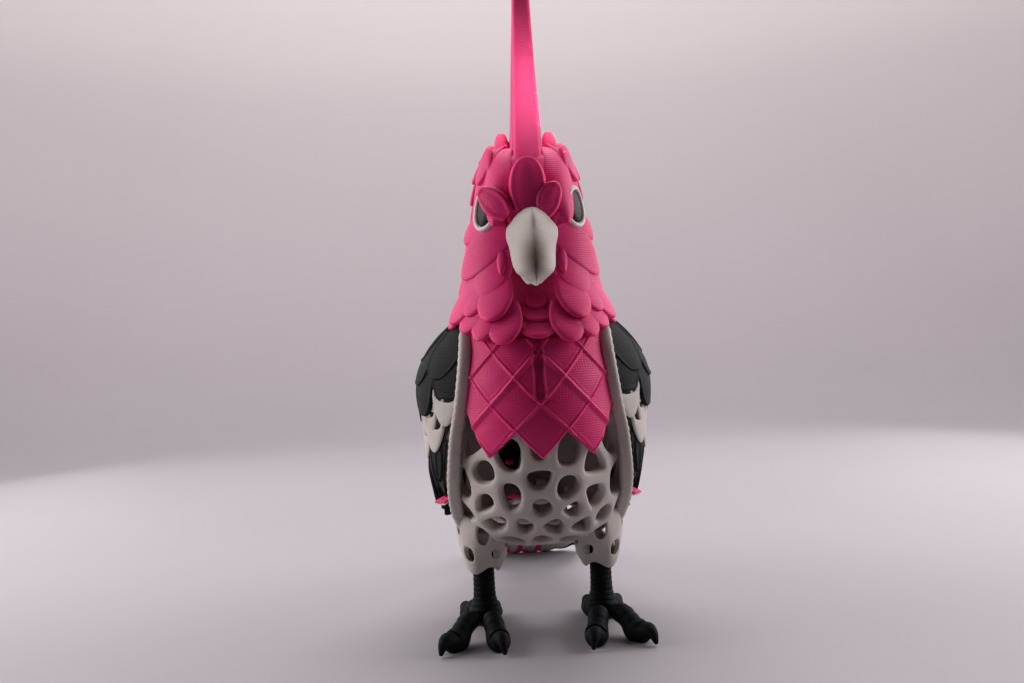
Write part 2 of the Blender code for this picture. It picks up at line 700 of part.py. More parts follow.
def build_thighs():
    """Each thigh: an openwork sleeve from the belly's skin down round the top of the leg."""
    sides, rows = 10, 3
    for sign, side in ((1, "l"), (-1, "r")):
        skins = []
        for thick in (0.0, 2.0):
            turn = np.radians(np.arange(sides) * 360 / sides)
            foot = np.stack([TARSUS_X + 0.3 + (7.7 - thick) * np.cos(turn),
                             0.3 + (7.7 - thick) * np.sin(turn),
                             25.5 + 2.6 * np.cos(3 * turn)], -1)
            wide = np.stack([TARSUS_X - 0.2 + (11.6 - thick) * np.cos(turn),
                             3.0 + (14.5 - thick) * np.sin(turn), np.full(sides, 45.0)], -1)
            way = wide - foot
            way /= np.linalg.norm(way, axis=1, keepdims=True)
            head = foot + way * (reach(TRUNK, foot, way, 27.0) - GAP - 0.5)[:, None]
            skins.append(np.vstack([
                foot + (head - foot) * s
                + np.stack([np.cos(turn), np.sin(turn), 0 * turn], -1) * 1.6 * math.sin(math.pi * s)
                for s in np.linspace(0, 1, rows + 1)
            ]))
        cells = [
            [r * sides + i, r * sides + (i + 1) % sides,
             (r + 1) * sides + (i + 1) % sides, (r + 1) * sides + i]
            for r in range(rows) for i in range(sides)
        ]
        shares = [0.52 if r == 1 and i % 2 else 0.0 for r in range(rows) for i in range(sides)]
        mirror = np.array([sign, 1.0, 1.0])
        add_shell(f"thigh_{side}", skins[0] * mirror, skins[1] * mirror, cells,
                  "light_grey_plastic", shares)


def sweep(path, radii):
    """Six-sided rings along a path that starts level or rises and falls, kept above the floor."""
    path = np.asarray(path, float)
    rings = []
    for i, (centre, radius) in enumerate(zip(path, radii)):
        ahead = path[min(i + 1, len(path) - 1)] - path[max(i - 1, 0)]
        ahead /= np.linalg.norm(ahead)
        side = np.cross(ahead, [0.0, 0.0, 1.0])
        side /= np.linalg.norm(side)
        over = np.cross(side, ahead)
        turn = np.radians(np.arange(0, 360, 60))
        ring = centre + radius * (np.outer(np.cos(turn), side) + np.outer(np.sin(turn), over))
        ring[:, 2] = np.maximum(ring[:, 2], 0.0)
        rings.append(ring)
    return rings


def build_legs():
    """Each leg: the scaled tarsus down to the palm, and four toes that arch to pad and claw."""
    for sign, side in ((1, "l"), (-1, "r")):
        mirror = np.array([sign, 1.0, 1.0])
        turn = np.radians(np.arange(0, 360, 36))
        rings = []
        for height, radius in ((4.6, 4.6), (6.5, 6.4), (9.5, 6.8), (13.0, 5.7), (17.0, 4.7),
                               (24.0, TARSUS_RADIUS), (31.0, TARSUS_RADIUS), (35.0, 4.2)):
            rings.append(np.stack([TARSUS_X + radius * np.cos(turn), radius * np.sin(turn),
                                   np.full(turn.shape, height)], -1))
        add_tube(f"leg_{side}", [ring * mirror for ring in rings], "dark_grey_plastic")
        for toe, (out, ahead) in TOES.items():
            length = math.hypot(out, ahead)
            way = np.array([out / length, ahead / length, 0.0])
            size = 0.92 if ahead > 0 else 1.0
            stations = [
                # share of the length, height, radius
                (7.6 / length, 8.4, 3.1), (0.38, 8.8, 3.9), (0.52, 6.8, 4.4), (0.63, 3.6, 4.8),
                (0.76, 3.5, 4.6), (0.83, 4.4, 3.5), (0.88, 5.1, 2.4), (0.95, 3.7, 1.7),
                (1.0, 1.2, 0.8),
            ]
            path = [np.array([TARSUS_X, 0.0, h * size]) + way * length * s for s, h, _ in stations]
            rings = sweep(path, [r * size for _, _, r in stations])
            add_tube(f"toe_{toe}_{side}", [ring * mirror for ring in rings], "dark_grey_plastic")


TAIL_LINE = [
    # share of the length, back, up, half width, thickness
    (0.0, 85.3, 50.0, 15.0, 9.0), (0.3, 100.5, 34.5, 19.5, 6.0), (0.6, 117.5, 19.8, 25.0, 4.0),
    (0.85, 132.5, 8.6, 29.0, 2.8), (1.0, 141.5, 0.5, 30.0, 1.8),
]


def tail_skin(u, v, lift):
    """The tail's sheet: its middle line, spread to its width, with a round and lobed end."""
    end = 0.09 * np.abs(u) ** 3 + 0.02 * (1 - np.abs(np.cos(np.pi * u * 3)))
    share = np.clip(v * (1 - end), 0, 1)
    along, up, half, thick = np.moveaxis(flow(TAIL_LINE, share), -1, 0)
    arch = 4.0 * (1 - v) * u**2
    return np.stack([u * half, along + lift * thick * 0.53, up - arch + lift * thick * 0.85], -1)


def build_tail():
    """The tail: a fan of dark feathers whose end rests on the floor."""
    columns, rows = 12, 5
    u, v = np.meshgrid(np.linspace(-1, 1, columns + 1), np.linspace(0, 1, rows + 1))
    top, low = tail_skin(u.ravel(), v.ravel(), 0.5), tail_skin(u.ravel(), v.ravel(), -0.5)
    top[:, 2] = np.maximum(top[:, 2], 1.8)
    low[:, 2] = np.maximum(low[:, 2], 0.0)
    add_shell("tail", top, low, grid_cells(columns, rows), "dark_grey_plastic")


def build_undertail():
    """The light under-tail coverts: a lobed pad against the under side of the tail's root."""
    columns, rows = 6, 4
    u, v = np.meshgrid(np.linspace(-0.86, 0.86, columns + 1), np.linspace(0.02, 0.74, rows + 1))
    u, v = u.ravel(), v.ravel()
    reach_back = v * (1 - 0.10 * u**2)
    top = tail_skin(u, reach_back, -0.5)
    top[:, 2] -= GAP + 0.5
    low = top.copy()
    low[:, 2] = np.maximum(low[:, 2] - 1.0 - 5.5 * np.cos(u * 1.5) * (1 - 0.7 * v), 0.5)
    low[:, 1] -= 2.5 * (1 - v)
    add_shell("undertail_coverts", top, low, grid_cells(columns, rows), "light_grey_plastic")


for old in list(bpy.data.objects):
    bpy.data.objects.remove(old, do_unlink=True)
bird = bpy.data.objects.new("galah", None)
bpy.context.collection.objects.link(bird)
bird.location = (0.0, LEGS_Y * MM, 0.0)

build_head()
build_hood()
build_crest()
build_crown_tufts()
build_beak()
build_eyes()
build_trunk()
build_shield()
build_mantle()
build_wings()
build_thighs()
build_legs()
build_tail()
build_undertail()
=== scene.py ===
"""The looks of a life-size galah figurine, printed in pink, light grey and dark grey plastic.

Sizes are in millimetres.  Y is counted from the legs, as the maker measures, and each mesh is
moved to the shared frame, in metres, when it is made.
"""

import math

import bmesh
import bpy
import numpy as np
from mathutils import Matrix, Vector


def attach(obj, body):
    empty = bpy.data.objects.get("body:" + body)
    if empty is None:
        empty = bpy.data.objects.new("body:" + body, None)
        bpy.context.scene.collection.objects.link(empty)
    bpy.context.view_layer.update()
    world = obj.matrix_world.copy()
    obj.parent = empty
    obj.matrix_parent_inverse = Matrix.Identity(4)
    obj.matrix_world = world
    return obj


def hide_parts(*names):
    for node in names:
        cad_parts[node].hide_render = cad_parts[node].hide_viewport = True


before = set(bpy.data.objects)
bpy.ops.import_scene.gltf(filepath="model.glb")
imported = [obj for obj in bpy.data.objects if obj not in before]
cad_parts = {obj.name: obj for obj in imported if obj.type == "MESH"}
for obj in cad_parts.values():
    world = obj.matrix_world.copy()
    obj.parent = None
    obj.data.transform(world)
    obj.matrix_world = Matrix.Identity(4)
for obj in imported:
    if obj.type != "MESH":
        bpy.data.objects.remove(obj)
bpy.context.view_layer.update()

# ---- Head ----
# The head is a closed pink shell under large overlapping scales.  It is printed upright in one
# piece with the hood, so every curve carries level layer lines.
MM = 0.001
LEGS_Y = -42.0
SIDES = (("left", False), ("right", True))
LINE_HEIGHT = 0.9
HEAD = [
    # height, half width, front, widest place, back
    (117, 37, -45.5, -2, 43.5), (124, 36.2, -44.5, -3, 40),
    (131, 33.6, -41.5, -4, 36), (137, 31.4, -39, -6, 31.5),
    (145, 28, -35.5, -8, 23), (153, 26.5, -33.5, -9, 18),
    (161.5, 25.7, -34, -10, 15.5), (169, 24.5, -36.5, -11, 15),
    (177, 22.8, -38.5, -12, 15), (185, 21.6, -38.5, -12, 14),
    (193, 19.8, -35.5, -12, 11), (200, 16.4, -30, -12, 5.5),
    (204.5, 11, -23.5, -12, -1), (206.5, 4, -16, -12, -8),
]


def flow(keys, place):
    """Values of key rows at a place, joined by cubic arcs whose slopes are harmonic means.

    The first number of a row is its place, and the values come back one array for each column.
    """
    keys = np.asarray(keys, float)
    at, value = keys[:, 0], keys[:, 1:]
    slope = np.diff(value, axis=0) / np.diff(at)[:, None]
    tangent = np.zeros_like(value)
    tangent[0], tangent[-1] = slope[0], slope[-1]
    same = slope[1:] * slope[:-1] > 0
    total = np.where(same, slope[1:] + slope[:-1], 1.0)
    tangent[1:-1] = np.where(same, 2.0 * slope[1:] * slope[:-1] / total, 0.0)
    place = np.clip(np.asarray(place, float), at[0], at[-1])
    i = np.clip(np.searchsorted(at, place) - 1, 0, len(at) - 2)
    step = (at[i + 1] - at[i])[..., None]
    s = (place - at[i])[..., None] / step
    return np.moveaxis(
        (2 * s**3 - 3 * s**2 + 1) * value[i]
        + (s**3 - 2 * s**2 + s) * step * tangent[i]
        + (3 * s**2 - 2 * s**3) * value[i + 1]
        + (s**3 - s**2) * step * tangent[i + 1], -1, 0)


def xyz(x, y, z):
    """Points from their three coordinates, each a number or an array."""
    return np.stack(np.broadcast_arrays(x, y, z), -1)


def unit(ways):
    """Vectors brought to length 1."""
    return ways / (np.linalg.norm(ways, axis=-1, keepdims=True) + 1e-12)


def on_body(keys, angle, height):
    """Point of a level slice: x = half sin a, y = middle - depth cos a; 0 degrees is in front."""
    half, front, middle, back = flow(keys, height)
    turn = np.radians(angle)
    depth = np.where(np.cos(turn) > 0, middle - front, back - middle)
    return xyz(half * np.sin(turn), middle - depth * np.cos(turn), height)


def angle_at(keys, across, height):
    """Angle at which the front of a level slice is so far across: arcsin(across / half)."""
    return np.degrees(np.arcsin(np.clip(across / flow(keys, height)[0], -0.9999, 0.9999)))


def slopes(keys, angle, height):
    """How far the skin runs per degree and per millimetre of height, as vectors."""
    top, low = keys[-1][0], keys[0][0]
    height = np.clip(height, low + 0.2, top - 0.2)
    round_it = (on_body(keys, angle + 0.5, height) - on_body(keys, angle - 0.5, height))
    up_it = (on_body(keys, angle, height + 0.2) - on_body(keys, angle, height - 0.2)) / 0.4
    return round_it, up_it


def lifted(keys, angle, height, lift):
    """Skin point moved out along its normal, the cross product of the two slopes."""
    angle, height, lift = np.broadcast_arrays(*map(np.asarray, (angle, height, lift)))
    normal = unit(np.cross(*slopes(keys, angle, height)))
    return on_body(keys, angle, height) + normal * lift[..., None]


def grid(wide, tall):
    """Two parameters over a grid, each from its first value, last value and count."""
    return np.meshgrid(np.linspace(*wide), np.linspace(*tall))


def circle(count):
    """Angles once round, in radians."""
    return np.linspace(0, 2 * math.pi, count, endpoint=False)


def ridge(value, at, wide):
    """A round ridge, 1 high where the value is at its place: exp(-((value - at) / wide)^2)."""
    return np.exp(-(((value - at) / wide) ** 2))


def sheets(top, low):
    """Points and faces of closed sheets from two skins, each ([sheets,] rows, columns, 3)."""
    top, low = [skin.reshape(-1, *skin.shape[-3:]) for skin in (top, low)]
    count, rows, columns = top.shape[:3]
    points = np.stack([top, low], 1).reshape(-1, 3)
    size = rows * columns
    g = np.arange(size).reshape(rows, columns)
    upper = np.stack([g[:-1, :-1], g[:-1, 1:], g[1:, 1:], g[1:, :-1]], -1).reshape(-1, 4)
    loop = np.concatenate([g[0, :-1], g[:-1, -1], g[-1, :0:-1], g[:0:-1, 0]])
    after = np.roll(loop, -1)
    rim = np.stack([after, loop, loop + size, after + size], -1)
    one = np.vstack([upper, upper[:, ::-1] + size, rim])
    faces = one[None] + (np.arange(count) * 2 * size)[:, None, None]
    side_a = top[:, 1:, :-1] - top[:, :-1, :-1]
    side_b = top[:, :-1, 1:] - top[:, :-1, :-1]
    facing = (np.cross(side_b, side_a) * (top - low)[:, :-1, :-1]).sum((1, 2, 3)) < 0
    faces[facing] = faces[facing][:, :, [1, 0, 3, 2]]
    return points, faces.reshape(-1, 4)


def layer(keys, angle, height, over, under):
    """One closed sheet that lies on a skin between two lifts."""
    return sheets(lifted(keys, angle, height, over), lifted(keys, angle, height, under))


def tubes(rings):
    """Points and faces of closed tubes from rings of points, ([tubes,] rings, around, 3)."""
    rings = rings.reshape(-1, *rings.shape[-3:])
    count, rows, around = rings.shape[:3]
    ends = rings[:, [0, -1]].mean(2)
    points = np.concatenate([rings.reshape(count, -1, 3), ends], 1).reshape(-1, 3)
    size = rows * around + 2
    g = np.arange(rows * around).reshape(rows, around)
    n = np.roll(g, -1, 1)
    wall = np.stack([g[:-1], n[:-1], n[1:], g[1:]], -1).reshape(-1, 4)
    cap = np.full((2, around), size - 2)
    first, last = np.stack([n[0], g[0], *cap], -1), np.stack([g[-1], n[-1], *cap + 1], -1)
    one = np.vstack([wall, first, last])
    faces = one[None] + (np.arange(count) * size)[:, None, None]
    ahead = ends[:, 1] - ends[:, 0]
    a, b = rings[:, rows // 2, 0], rings[:, rows // 2, around // 4]
    centre = rings[:, rows // 2].mean(1)
    turned = (np.cross(a - centre, b - centre) * ahead).sum(1) < 0
    faces[turned] = faces[turned][:, :, [1, 0, 3, 2]]
    return points, faces.reshape(-1, 4)


def gather(*parts):
    """One list of points and one of faces from several, with the indices moved on."""
    points, faces, start = [], [], 0
    for own, joins in parts:
        points.append(own)
        faces.append(joins + start)
        start += len(own)
    return np.vstack(points), np.vstack(faces)


def mirrored(shape):
    """A shape's mirror image across the middle plane, with its faces turned outwards again."""
    points, faces = shape
    return points * [-1, 1, 1], faces[:, [1, 0, 3, 2]]


def both_sides(shape):
    """A shape and its mirror image as one."""
    return gather(shape, mirrored(shape))


def linked(name, data):
    """An object of the scene that shows a mesh, a lamp or a camera."""
    made = bpy.data.objects.new(name, data)
    bpy.context.scene.collection.objects.link(made)
    return made


def declared(name, mesh, material, nodes):
    """The object of a finished mesh, riding on the bird and standing for its nodes."""
    mesh.shade_smooth()
    mesh.materials.append(material)
    piece = linked(name, mesh)
    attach(piece, "root")
    if nodes:
        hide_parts(*nodes)
    return piece


def make_piece(name, shape, material, nodes=(), crease=42):
    """A piece from points and faces, moved to the frame; a triangle's last corner is doubled."""
    points, faces = shape
    kept = np.ones(faces.shape, bool)
    kept[:, 3] = faces[:, 3] != faces[:, 2]
    sides = kept.sum(1)
    mesh = bpy.data.meshes.new(name)
    mesh.vertices.add(len(points))
    mesh.vertices.foreach_set("co", ((points + [0, LEGS_Y, 0]) * MM).ravel())
    mesh.loops.add(int(sides.sum()))
    mesh.loops.foreach_set("vertex_index", faces[kept])
    mesh.polygons.add(len(faces))
    mesh.polygons.foreach_set("loop_start", np.cumsum(sides) - sides)
    mesh.update(calc_edges=True)
    declared(name, mesh, material, nodes)
    mesh.set_sharp_from_angle(angle=math.radians(crease))


def make_pair(*pieces):
    """Left pieces and their mirror images: each a name, a shape, a plastic and a node or none."""
    for word, flip in SIDES:
        for name, shape, material, node in pieces:
            make_piece(f"{name}_{word}", mirrored(shape) if flip else shape, material,
                       [f"{node}_{word[0]}"] if node else ())


def leaves(keys, angle, tip, length, width, lean=0.0, root=0.2, raised=2.0, dome=0.5, rim=0.0,
           shaft=0.0, sharp=0.5, heel=0.3, thick=1.1, rows=15, columns=15, least=None):
    """Scale feathers that lie on a skin, from root (s = 0) to tip (s = 1), t = -1 to 1 across.

    The half width is w/2 (1 - q^2)^sharp past the widest place, q from 0 there to 1 at the tip.
    The lift is root + (raised - root) s + dome (1 - t^2) s, with a round edge, and an optional
    rim and shaft.  The middle line is walked up from the tip over the skin's slopes.
    """
    widest, narrowest, last_row = 0.5, 0.25, 0.995
    given = (angle, tip, length, width, lean, root, raised, dome, rim, shaft, sharp, heel, thick)
    given = np.broadcast_arrays(*[np.atleast_1d(np.asarray(v, float)) for v in given])
    angle, tip, length, width, lean, root, raised, dome, rim, shaft, sharp, heel, thick = [
        v[:, None, None] for v in given]
    way = np.radians(lean)
    s = last_row * np.sin(np.linspace(0, 1, rows) * math.pi / 2) ** 0.85
    middle_a, middle_h = [angle], [tip]
    for k in range(rows - 1, 0, -1):
        round_it, up_it = slopes(keys, middle_a[-1], middle_h[-1])
        step = (s[k] - s[k - 1]) * length
        middle_a.append(middle_a[-1] - np.sin(way) * step / np.linalg.norm(round_it, axis=-1))
        middle_h.append(middle_h[-1] + np.cos(way) * step / np.linalg.norm(up_it, axis=-1))
    middle_a, middle_h = np.hstack(middle_a[::-1]), np.hstack(middle_h[::-1])
    round_it, up_it = slopes(keys, middle_a, middle_h)
    s, t = s[:, None], np.sin(np.linspace(-1, 1, columns) * math.pi / 2)
    q = np.clip((s - widest) / (1 - widest), 0, 1)
    slim = 1 - heel * np.clip((widest - s) / widest, 0, 1) ** 2
    half = np.maximum(width / 2 * slim * (1 - q**2) ** sharp, narrowest)
    across = t * half
    a = middle_a + np.cos(way) * across / np.linalg.norm(round_it, axis=-1)
    h = middle_h + np.sin(way) * across / np.linalg.norm(up_it, axis=-1)
    edge = np.minimum((1 - np.abs(t)) * half, (1 - s) * length)
    lift = root + (raised - root) * s + dome * (1 - t**2) * s
    under = lift - thick
    lift = lift - 0.7 * np.exp(-edge / 0.35) + rim * ridge(edge, 1.2, 0.8)
    lift = lift + shaft * ridge(across, 0, 0.55)
    under = np.minimum(under, lift - 0.3)
    if least:
        a = np.maximum(a, least(h))
    return sheets(lifted(keys, a, h, lift), lifted(keys, a, h, under))


def srgb(code):
    """Linear colour from a hex code: each channel c is ((c + 0.055) / 1.055)^2.4."""
    parts = [int(code[i:i + 2], 16) / 255 for i in (1, 3, 5)]
    return [c / 12.92 if c < 0.04045 else ((c + 0.055) / 1.055) ** 2.4 for c in parts] + [1.0]


def feed(node, inputs):
    """Fills a node's inputs, each with a value or with a link from another node's output."""
    for socket, source in inputs.items():
        if isinstance(source, bpy.types.NodeSocket):
            node.id_data.links.new(source, node.inputs[socket])
        else:
            node.inputs[socket].default_value = source


def add(tree, kind, inputs=None, out=0, **settings):
    """The output of a new node with its settings and inputs."""
    made = tree.nodes.new("ShaderNode" + kind)
    for key, value in settings.items():
        setattr(made, key, value)
    feed(made, inputs or {})
    return made.outputs[out]


def opened(material):
    """A material's node tree, its shader, and the output of its Object coordinates."""
    material.use_nodes = True
    tree = material.node_tree
    return tree, tree.nodes["Principled BSDF"], add(tree, "TexCoord", out="Object")


def printed(name, light, dark, roughness, glow=0.0, gloss=0.5, groove=0.11, depth=3.0):
    """Fused-filament plastic: its colour drifts a little, and layer lines run level round it.

    A real layer is 0.2 mm; it is drawn 0.9 mm thick, because a finer line would not show.  The
    noise scales are per metre: lines wander over 8 mm, the grain is 0.7 mm, a patch 22 mm.
    Light goes in to the depth, and the groove is that of the lines, both in millimetres.
    """
    made = bpy.data.materials.new(name)
    tree, shader, place = opened(made)
    wander, grain, patch = [
        add(tree, "TexNoise", {"Vector": place, "Scale": scale, "Detail": detail})
        for scale, detail in ((120.0, 2.0), (1400.0, 3.0), (45.0, 3.0))]
    height = add(tree, "SeparateXYZ", {0: place}, out="Z")
    turns = add(tree, "Math", {0: height, 1: 2 * math.pi / (LINE_HEIGHT * MM)},
                operation="MULTIPLY")
    shift = add(tree, "Math", {0: wander, 1: 2.0, 2: turns}, operation="MULTIPLY_ADD")
    lines = add(tree, "Math", {0: shift}, operation="SINE")
    share = add(tree, "Math", {0: lines, 1: 0.05, 2: patch}, operation="MULTIPLY_ADD")
    tone = add(tree, "MapRange", {"Value": share, "From Min": 0.3, "From Max": 0.7})
    colour = add(tree, "Mix", {0: tone, 6: srgb(dark), 7: srgb(light)}, 2, data_type="RGBA")
    sheen = add(tree, "MapRange", {"Value": grain, "From Min": 0.3, "From Max": 0.7,
                                   "To Min": roughness - 0.07, "To Max": roughness + 0.09})
    relief = add(tree, "Bump", {"Height": lines, "Distance": groove * MM, "Strength": 0.28})
    relief = add(tree, "Bump", {"Height": grain, "Distance": 0.2 * MM, "Strength": 0.35,
                                "Normal": relief})
    feed(shader, {"Base Color": colour, "Roughness": sheen, "Normal": relief, "IOR": 1.46,
                  "Specular IOR Level": gloss, "Subsurface Weight": glow,
                  "Subsurface Radius": (1.0, 0.35, 0.3), "Subsurface Scale": depth * MM})
    return made


# Silky polylactide in hot pink: light goes a little way in, so its edges glow.
silky_pink = printed("silky_pink_polylactide", "#EC3880", "#E02C70", 0.44,
                     glow=0.2, gloss=0.22)

HEAD_CUT, CROWN_START, CROWN_END = 142.5, 196, 206.4
angles = np.linspace(0, 360, 144, endpoint=False)
heights = np.concatenate([np.linspace(HEAD_CUT - 3, CROWN_START, 60),
                          np.linspace(CROWN_START, CROWN_END, 20)[1:]])
a, h = np.meshgrid(angles, heights)
side = np.abs((a + 180) % 360 - 180)
# The throat and the eye sockets are pressed in, and the crown behind the brow is lowered.
throat = -4.6 * np.exp(-(((h - 147) / 10) ** 4)) / (1 + (side / 21) ** 6)
sockets = -2.8 * np.exp(-(((side - 52) / 17) ** 4) - ((h - 177) / 13) ** 4)
crown = -3.8 * np.clip((h - 195) / 7, 0, 1) ** 1.5 * (np.cos(np.radians(a)) > -0.2)
head_core = lifted(HEAD, a, h, throat + sockets + crown)

# Scales of the left side.  Columns: angle, tip height, length, width, lean, root lift, raised
# lift and dome, as leaves takes them.
CHEEK = [
    (90, 166.3, 29, 10, 77, 0.8, 1.7), (80, 151.2, 31, 15.5, 56, 0.8, 2.2),
    (41, 141.4, 25, 17, 10, 0.1, 1.9), (88, 144.4, 26, 16, 42, 0.2, 1.8),
    (66, 143, 20, 13, 26, 0.2, 1.3), (112, 158, 22, 14, 58, -0.1, 1.5),
    (108, 148, 20, 14, 44, -0.1, 1.5),
]
BROW = [
    (31, 169.2, 34, 15, -5, -0.4, 1.2, 3), (66, 187, 20, 12, 10, -0.2, 1.2, 0.4),
    (59, 200.6, 24, 10.5, 180, -2, 2.4, 0.4),
]
# Petal scales of the forehead curl up round the foot of the crest.
PETALS = [
    (-1.5, 191.9, 20, 12.6, 178, 2.4, 4.4, 1.5), (21, 184, 13, 8.8, 160, 3, 4.6, 1.2),
    (-45, 183, 15, 9.6, 226, 3.8, 5, 0.9), (33, 174.6, 8, 6.5, 140, 1.6, 2.4, 0.8),
    (-20, 178, 9, 6.5, 200, 1.2, 1.4, 0.8),
]
# Even rows down the nape: height of the tips, and the angle where the row starts.
NAPE = [(197, 99.5), (189, 88), (181, 99.5), (173, 111), (165, 122.5), (157, 134), (149, 122.5),
        (142, 111)]
NAPE_STEP, NAPE_END = 23.0, 170

cheek_scales = leaves(HEAD, *zip(*CHEEK), dome=0.35, rows=26, columns=21, thick=1.9)
brow = leaves(HEAD, *zip(*BROW), rows=34, columns=31, thick=3.4)
petals = leaves(HEAD, *zip(*PETALS), rim=0.4, heel=0.45, rows=36, columns=31, thick=3.6)
folds = leaves(HEAD, 25.5, 149.6, 12, 4.4, lean=-4, root=0.8, raised=1.7, dome=1.0, sharp=0.6,
               heel=0.7, thick=3.0, rows=26, columns=21)
nape_rows = [leaves(HEAD, np.arange(first, NAPE_END, NAPE_STEP), z, 17, 12.5, lean=8, root=-0.1,
                    raised=1.5, rows=13, columns=13) for z, first in NAPE]
nape_middle = leaves(HEAD, 180, [189, 173, 157, 142], 17, 12.5, root=-0.1, raised=1.5, rows=13,
                     columns=13)
make_piece("head_shell", tubes(head_core), silky_pink, ["head"])
make_piece("head_scales", gather(both_sides(gather(cheek_scales, brow, folds, *nape_rows)),
                                 petals, nape_middle), silky_pink)

# ---- Hood ----
# The hood hides the joint between head and body: two rows of big round scales over a core
# that plugs the openwork trunk.  The scales stand off it, so deep shadows lie under them.
TRUNK = [
    (34.5, 1, 22, 24, 26), (35, 10, 10, 22, 48),
    (37.5, 23, -6, 18, 66), (43, 32.5, -20, 12, 80),
    (50, 36.2, -29.5, 8, 89), (60, 38, -37, 5, 86),
    (75, 38.6, -42.5, 4, 73), (90, 38.4, -45.5, 3, 62.5),
    (105, 37.2, -45.5, 2, 52.5), (120, 34.8, -42, 0, 43),
    (134, 31.5, -38.5, -2, 34),
]
# The line of the hood's hem: angle from the front, and height.
HEM = [(0, 119.6), (25, 121), (40, 124.5), (62, 130.3), (95, 131.5), (140, 128.5), (180, 126)]

# The core follows the head down to the hem, then turns in to plug the trunk.
angles = np.linspace(0, 360, 120, endpoint=False)
side = np.abs((angles + 180) % 360 - 180)
hem = flow(HEM, side)[0] + 7.5
level = np.linspace(0, 1, 16)[:, None]
outer = lifted(HEAD, angles, (HEAD_CUT - 1) + (hem - HEAD_CUT + 1) * level,
               0.2 - 4.4 * (1 - level) / (1 + (side / 21) ** 6))
plug = level[:6] / level[5]
inner = lifted(TRUNK, angles, hem - 6.0 * plug, 0.4 - 2.4 * plug)
hood_core = np.concatenate([outer, inner])

# Scale rows of one side, with the columns of CHEEK.
UPPER_ROW = [
    (28.5, 131, 20, 14.5, -4, 0.6, 3.6), (50, 134, 17, 13, 6, 0.6, 2.2),
    (70, 131.4, 22, 19, 14, 0.6, 2.6), (97, 133, 20, 18, 6, 0.6, 1.7),
    (121, 132.6, 20, 18, 4, 0.6, 1.7), (149, 131, 20, 18, 2, 0.6, 1.7),
    (176, 130, 20, 17, 0, 0.6, 1.7),
]
LOWER_ROW = [
    (19.5, 122.6, 18, 14, -4, 0, 2.9), (35, 124.2, 17, 13, 0, 0, 2.4),
    (50.5, 127.4, 16, 14, 6, 0, 2), (78, 129.6, 15, 16, 4, 0, 1.4),
    (106, 129.8, 15, 16, 3, 0, 1.4), (134, 128, 15, 17, 2, 0, 1.4),
    (162, 126.2, 15, 17, 0, 0, 1.4),
]
THROAT_ROW = [
    (1.5, 137.2, 9, 11.5, 0, -5.4, -2), (1.5, 131.6, 10, 15, 0, -4.4, -0.3),
    (1, 124.6, 12, 14.5, 0, -2.6, 1.4),
]
upper_row = leaves(HEAD, *zip(*UPPER_ROW), dome=0.6, thick=1.5, rows=22, columns=21)
lower_row = leaves(HEAD, *zip(*LOWER_ROW), dome=0.5, thick=1.4, rows=22, columns=19)
throat_row = leaves(HEAD, *zip(*THROAT_ROW), dome=0.3, rim=0.45, thick=1.6, rows=24, columns=25)
make_piece("hood_core", tubes(hood_core), silky_pink, ["hood"])
make_piece("hood_scales", gather(both_sides(gather(upper_row, lower_row)), throat_row),
           silky_pink)

# ---- Crest ----
# The raised crest is a fan of six broad feathers, printed standing on the crown in the middle
# plane.  The front one is a flat-faced blade; the ones behind are wider and show at its sides.
CREST = [
    # root, tip, bow, half depth, half width at the root, and at the tip
    ((0, -28.5, 193), (0, -34.6, 283), 3, 6.4, 5.6, 2.7),
    ((0, -24.5, 196), (0, -27.5, 277), 2.6, 7.6, 6.7, 2.3),
    ((0, -20, 198), (0, -16.5, 266), 2.6, 8.2, 6.9, 2),
    ((0, -15.5, 199), (0, -4, 251), 2.6, 8, 6.2, 1.8),
    ((0, -11, 199), (0, 6.5, 235), 2.4, 7, 5.2, 1.6),
    ((0, -7, 198), (0, 13.5, 220.5), 2.2, 5.6, 4.2, 1.4),
]


def eased(value, power):
    """A power of a value's size, with the value's own sign."""
    return np.sign(value) * np.abs(value) ** power


def blades(roots, tips, bow, deep, wide, narrow, rows=40, around=36, flat=5.0):
    """Feather blades: a bowed middle line, and across it |x/b|^n + |y/a|^n = 1.

    n is flat, a swells as a sine and falls to the tip as (1 - s^3.2), and b runs straight.
    """
    s = np.linspace(0, 0.995, rows)[None, :, None]
    roots, tips = np.asarray(roots, float)[:, None], np.asarray(tips, float)[:, None]
    bow, deep, wide, narrow = [np.asarray(v, float)[:, None, None]
                               for v in (bow, deep, wide, narrow)]
    flank = np.cross(unit(tips - roots), [1.0, 0.0, 0.0])
    line = roots + (tips - roots) * s + flank * (bow * np.sin(math.pi * s))
    a = deep * (1 - s**3.2) ** 0.8 * (0.62 + 0.38 * np.sin(
        math.pi * np.clip(s * 0.9 + 0.05, 0, 1)))
    b = (wide + (narrow - wide) * s) * (1 - 0.6 * s**12)
    turn = circle(around)[:, None]
    ring = (b[..., None] * eased(np.cos(turn), 2 / flat) * np.array([1.0, 0.0, 0.0])
            + a[..., None] * eased(np.sin(turn), 2 / flat) * flank[:, :, None, :])
    return tubes(line[:, :, None, :] + ring)


# The crest is the same silky plastic in thin walls, so more light comes through it.  Its colour is
# also painted lighter than the body's pink, a painted highlight on the crest and the tufts.
translucent_pink_painted_lighter = printed("thin_silky_pink_polylactide_painted_lighter", "#F04A88", "#E63E7A", 0.5,
                       glow=0.35, gloss=0.2, depth=5.0)
make_piece("crest_feathers", blades(*zip(*CREST)), translucent_pink_painted_lighter, ["crest"], crease=35)

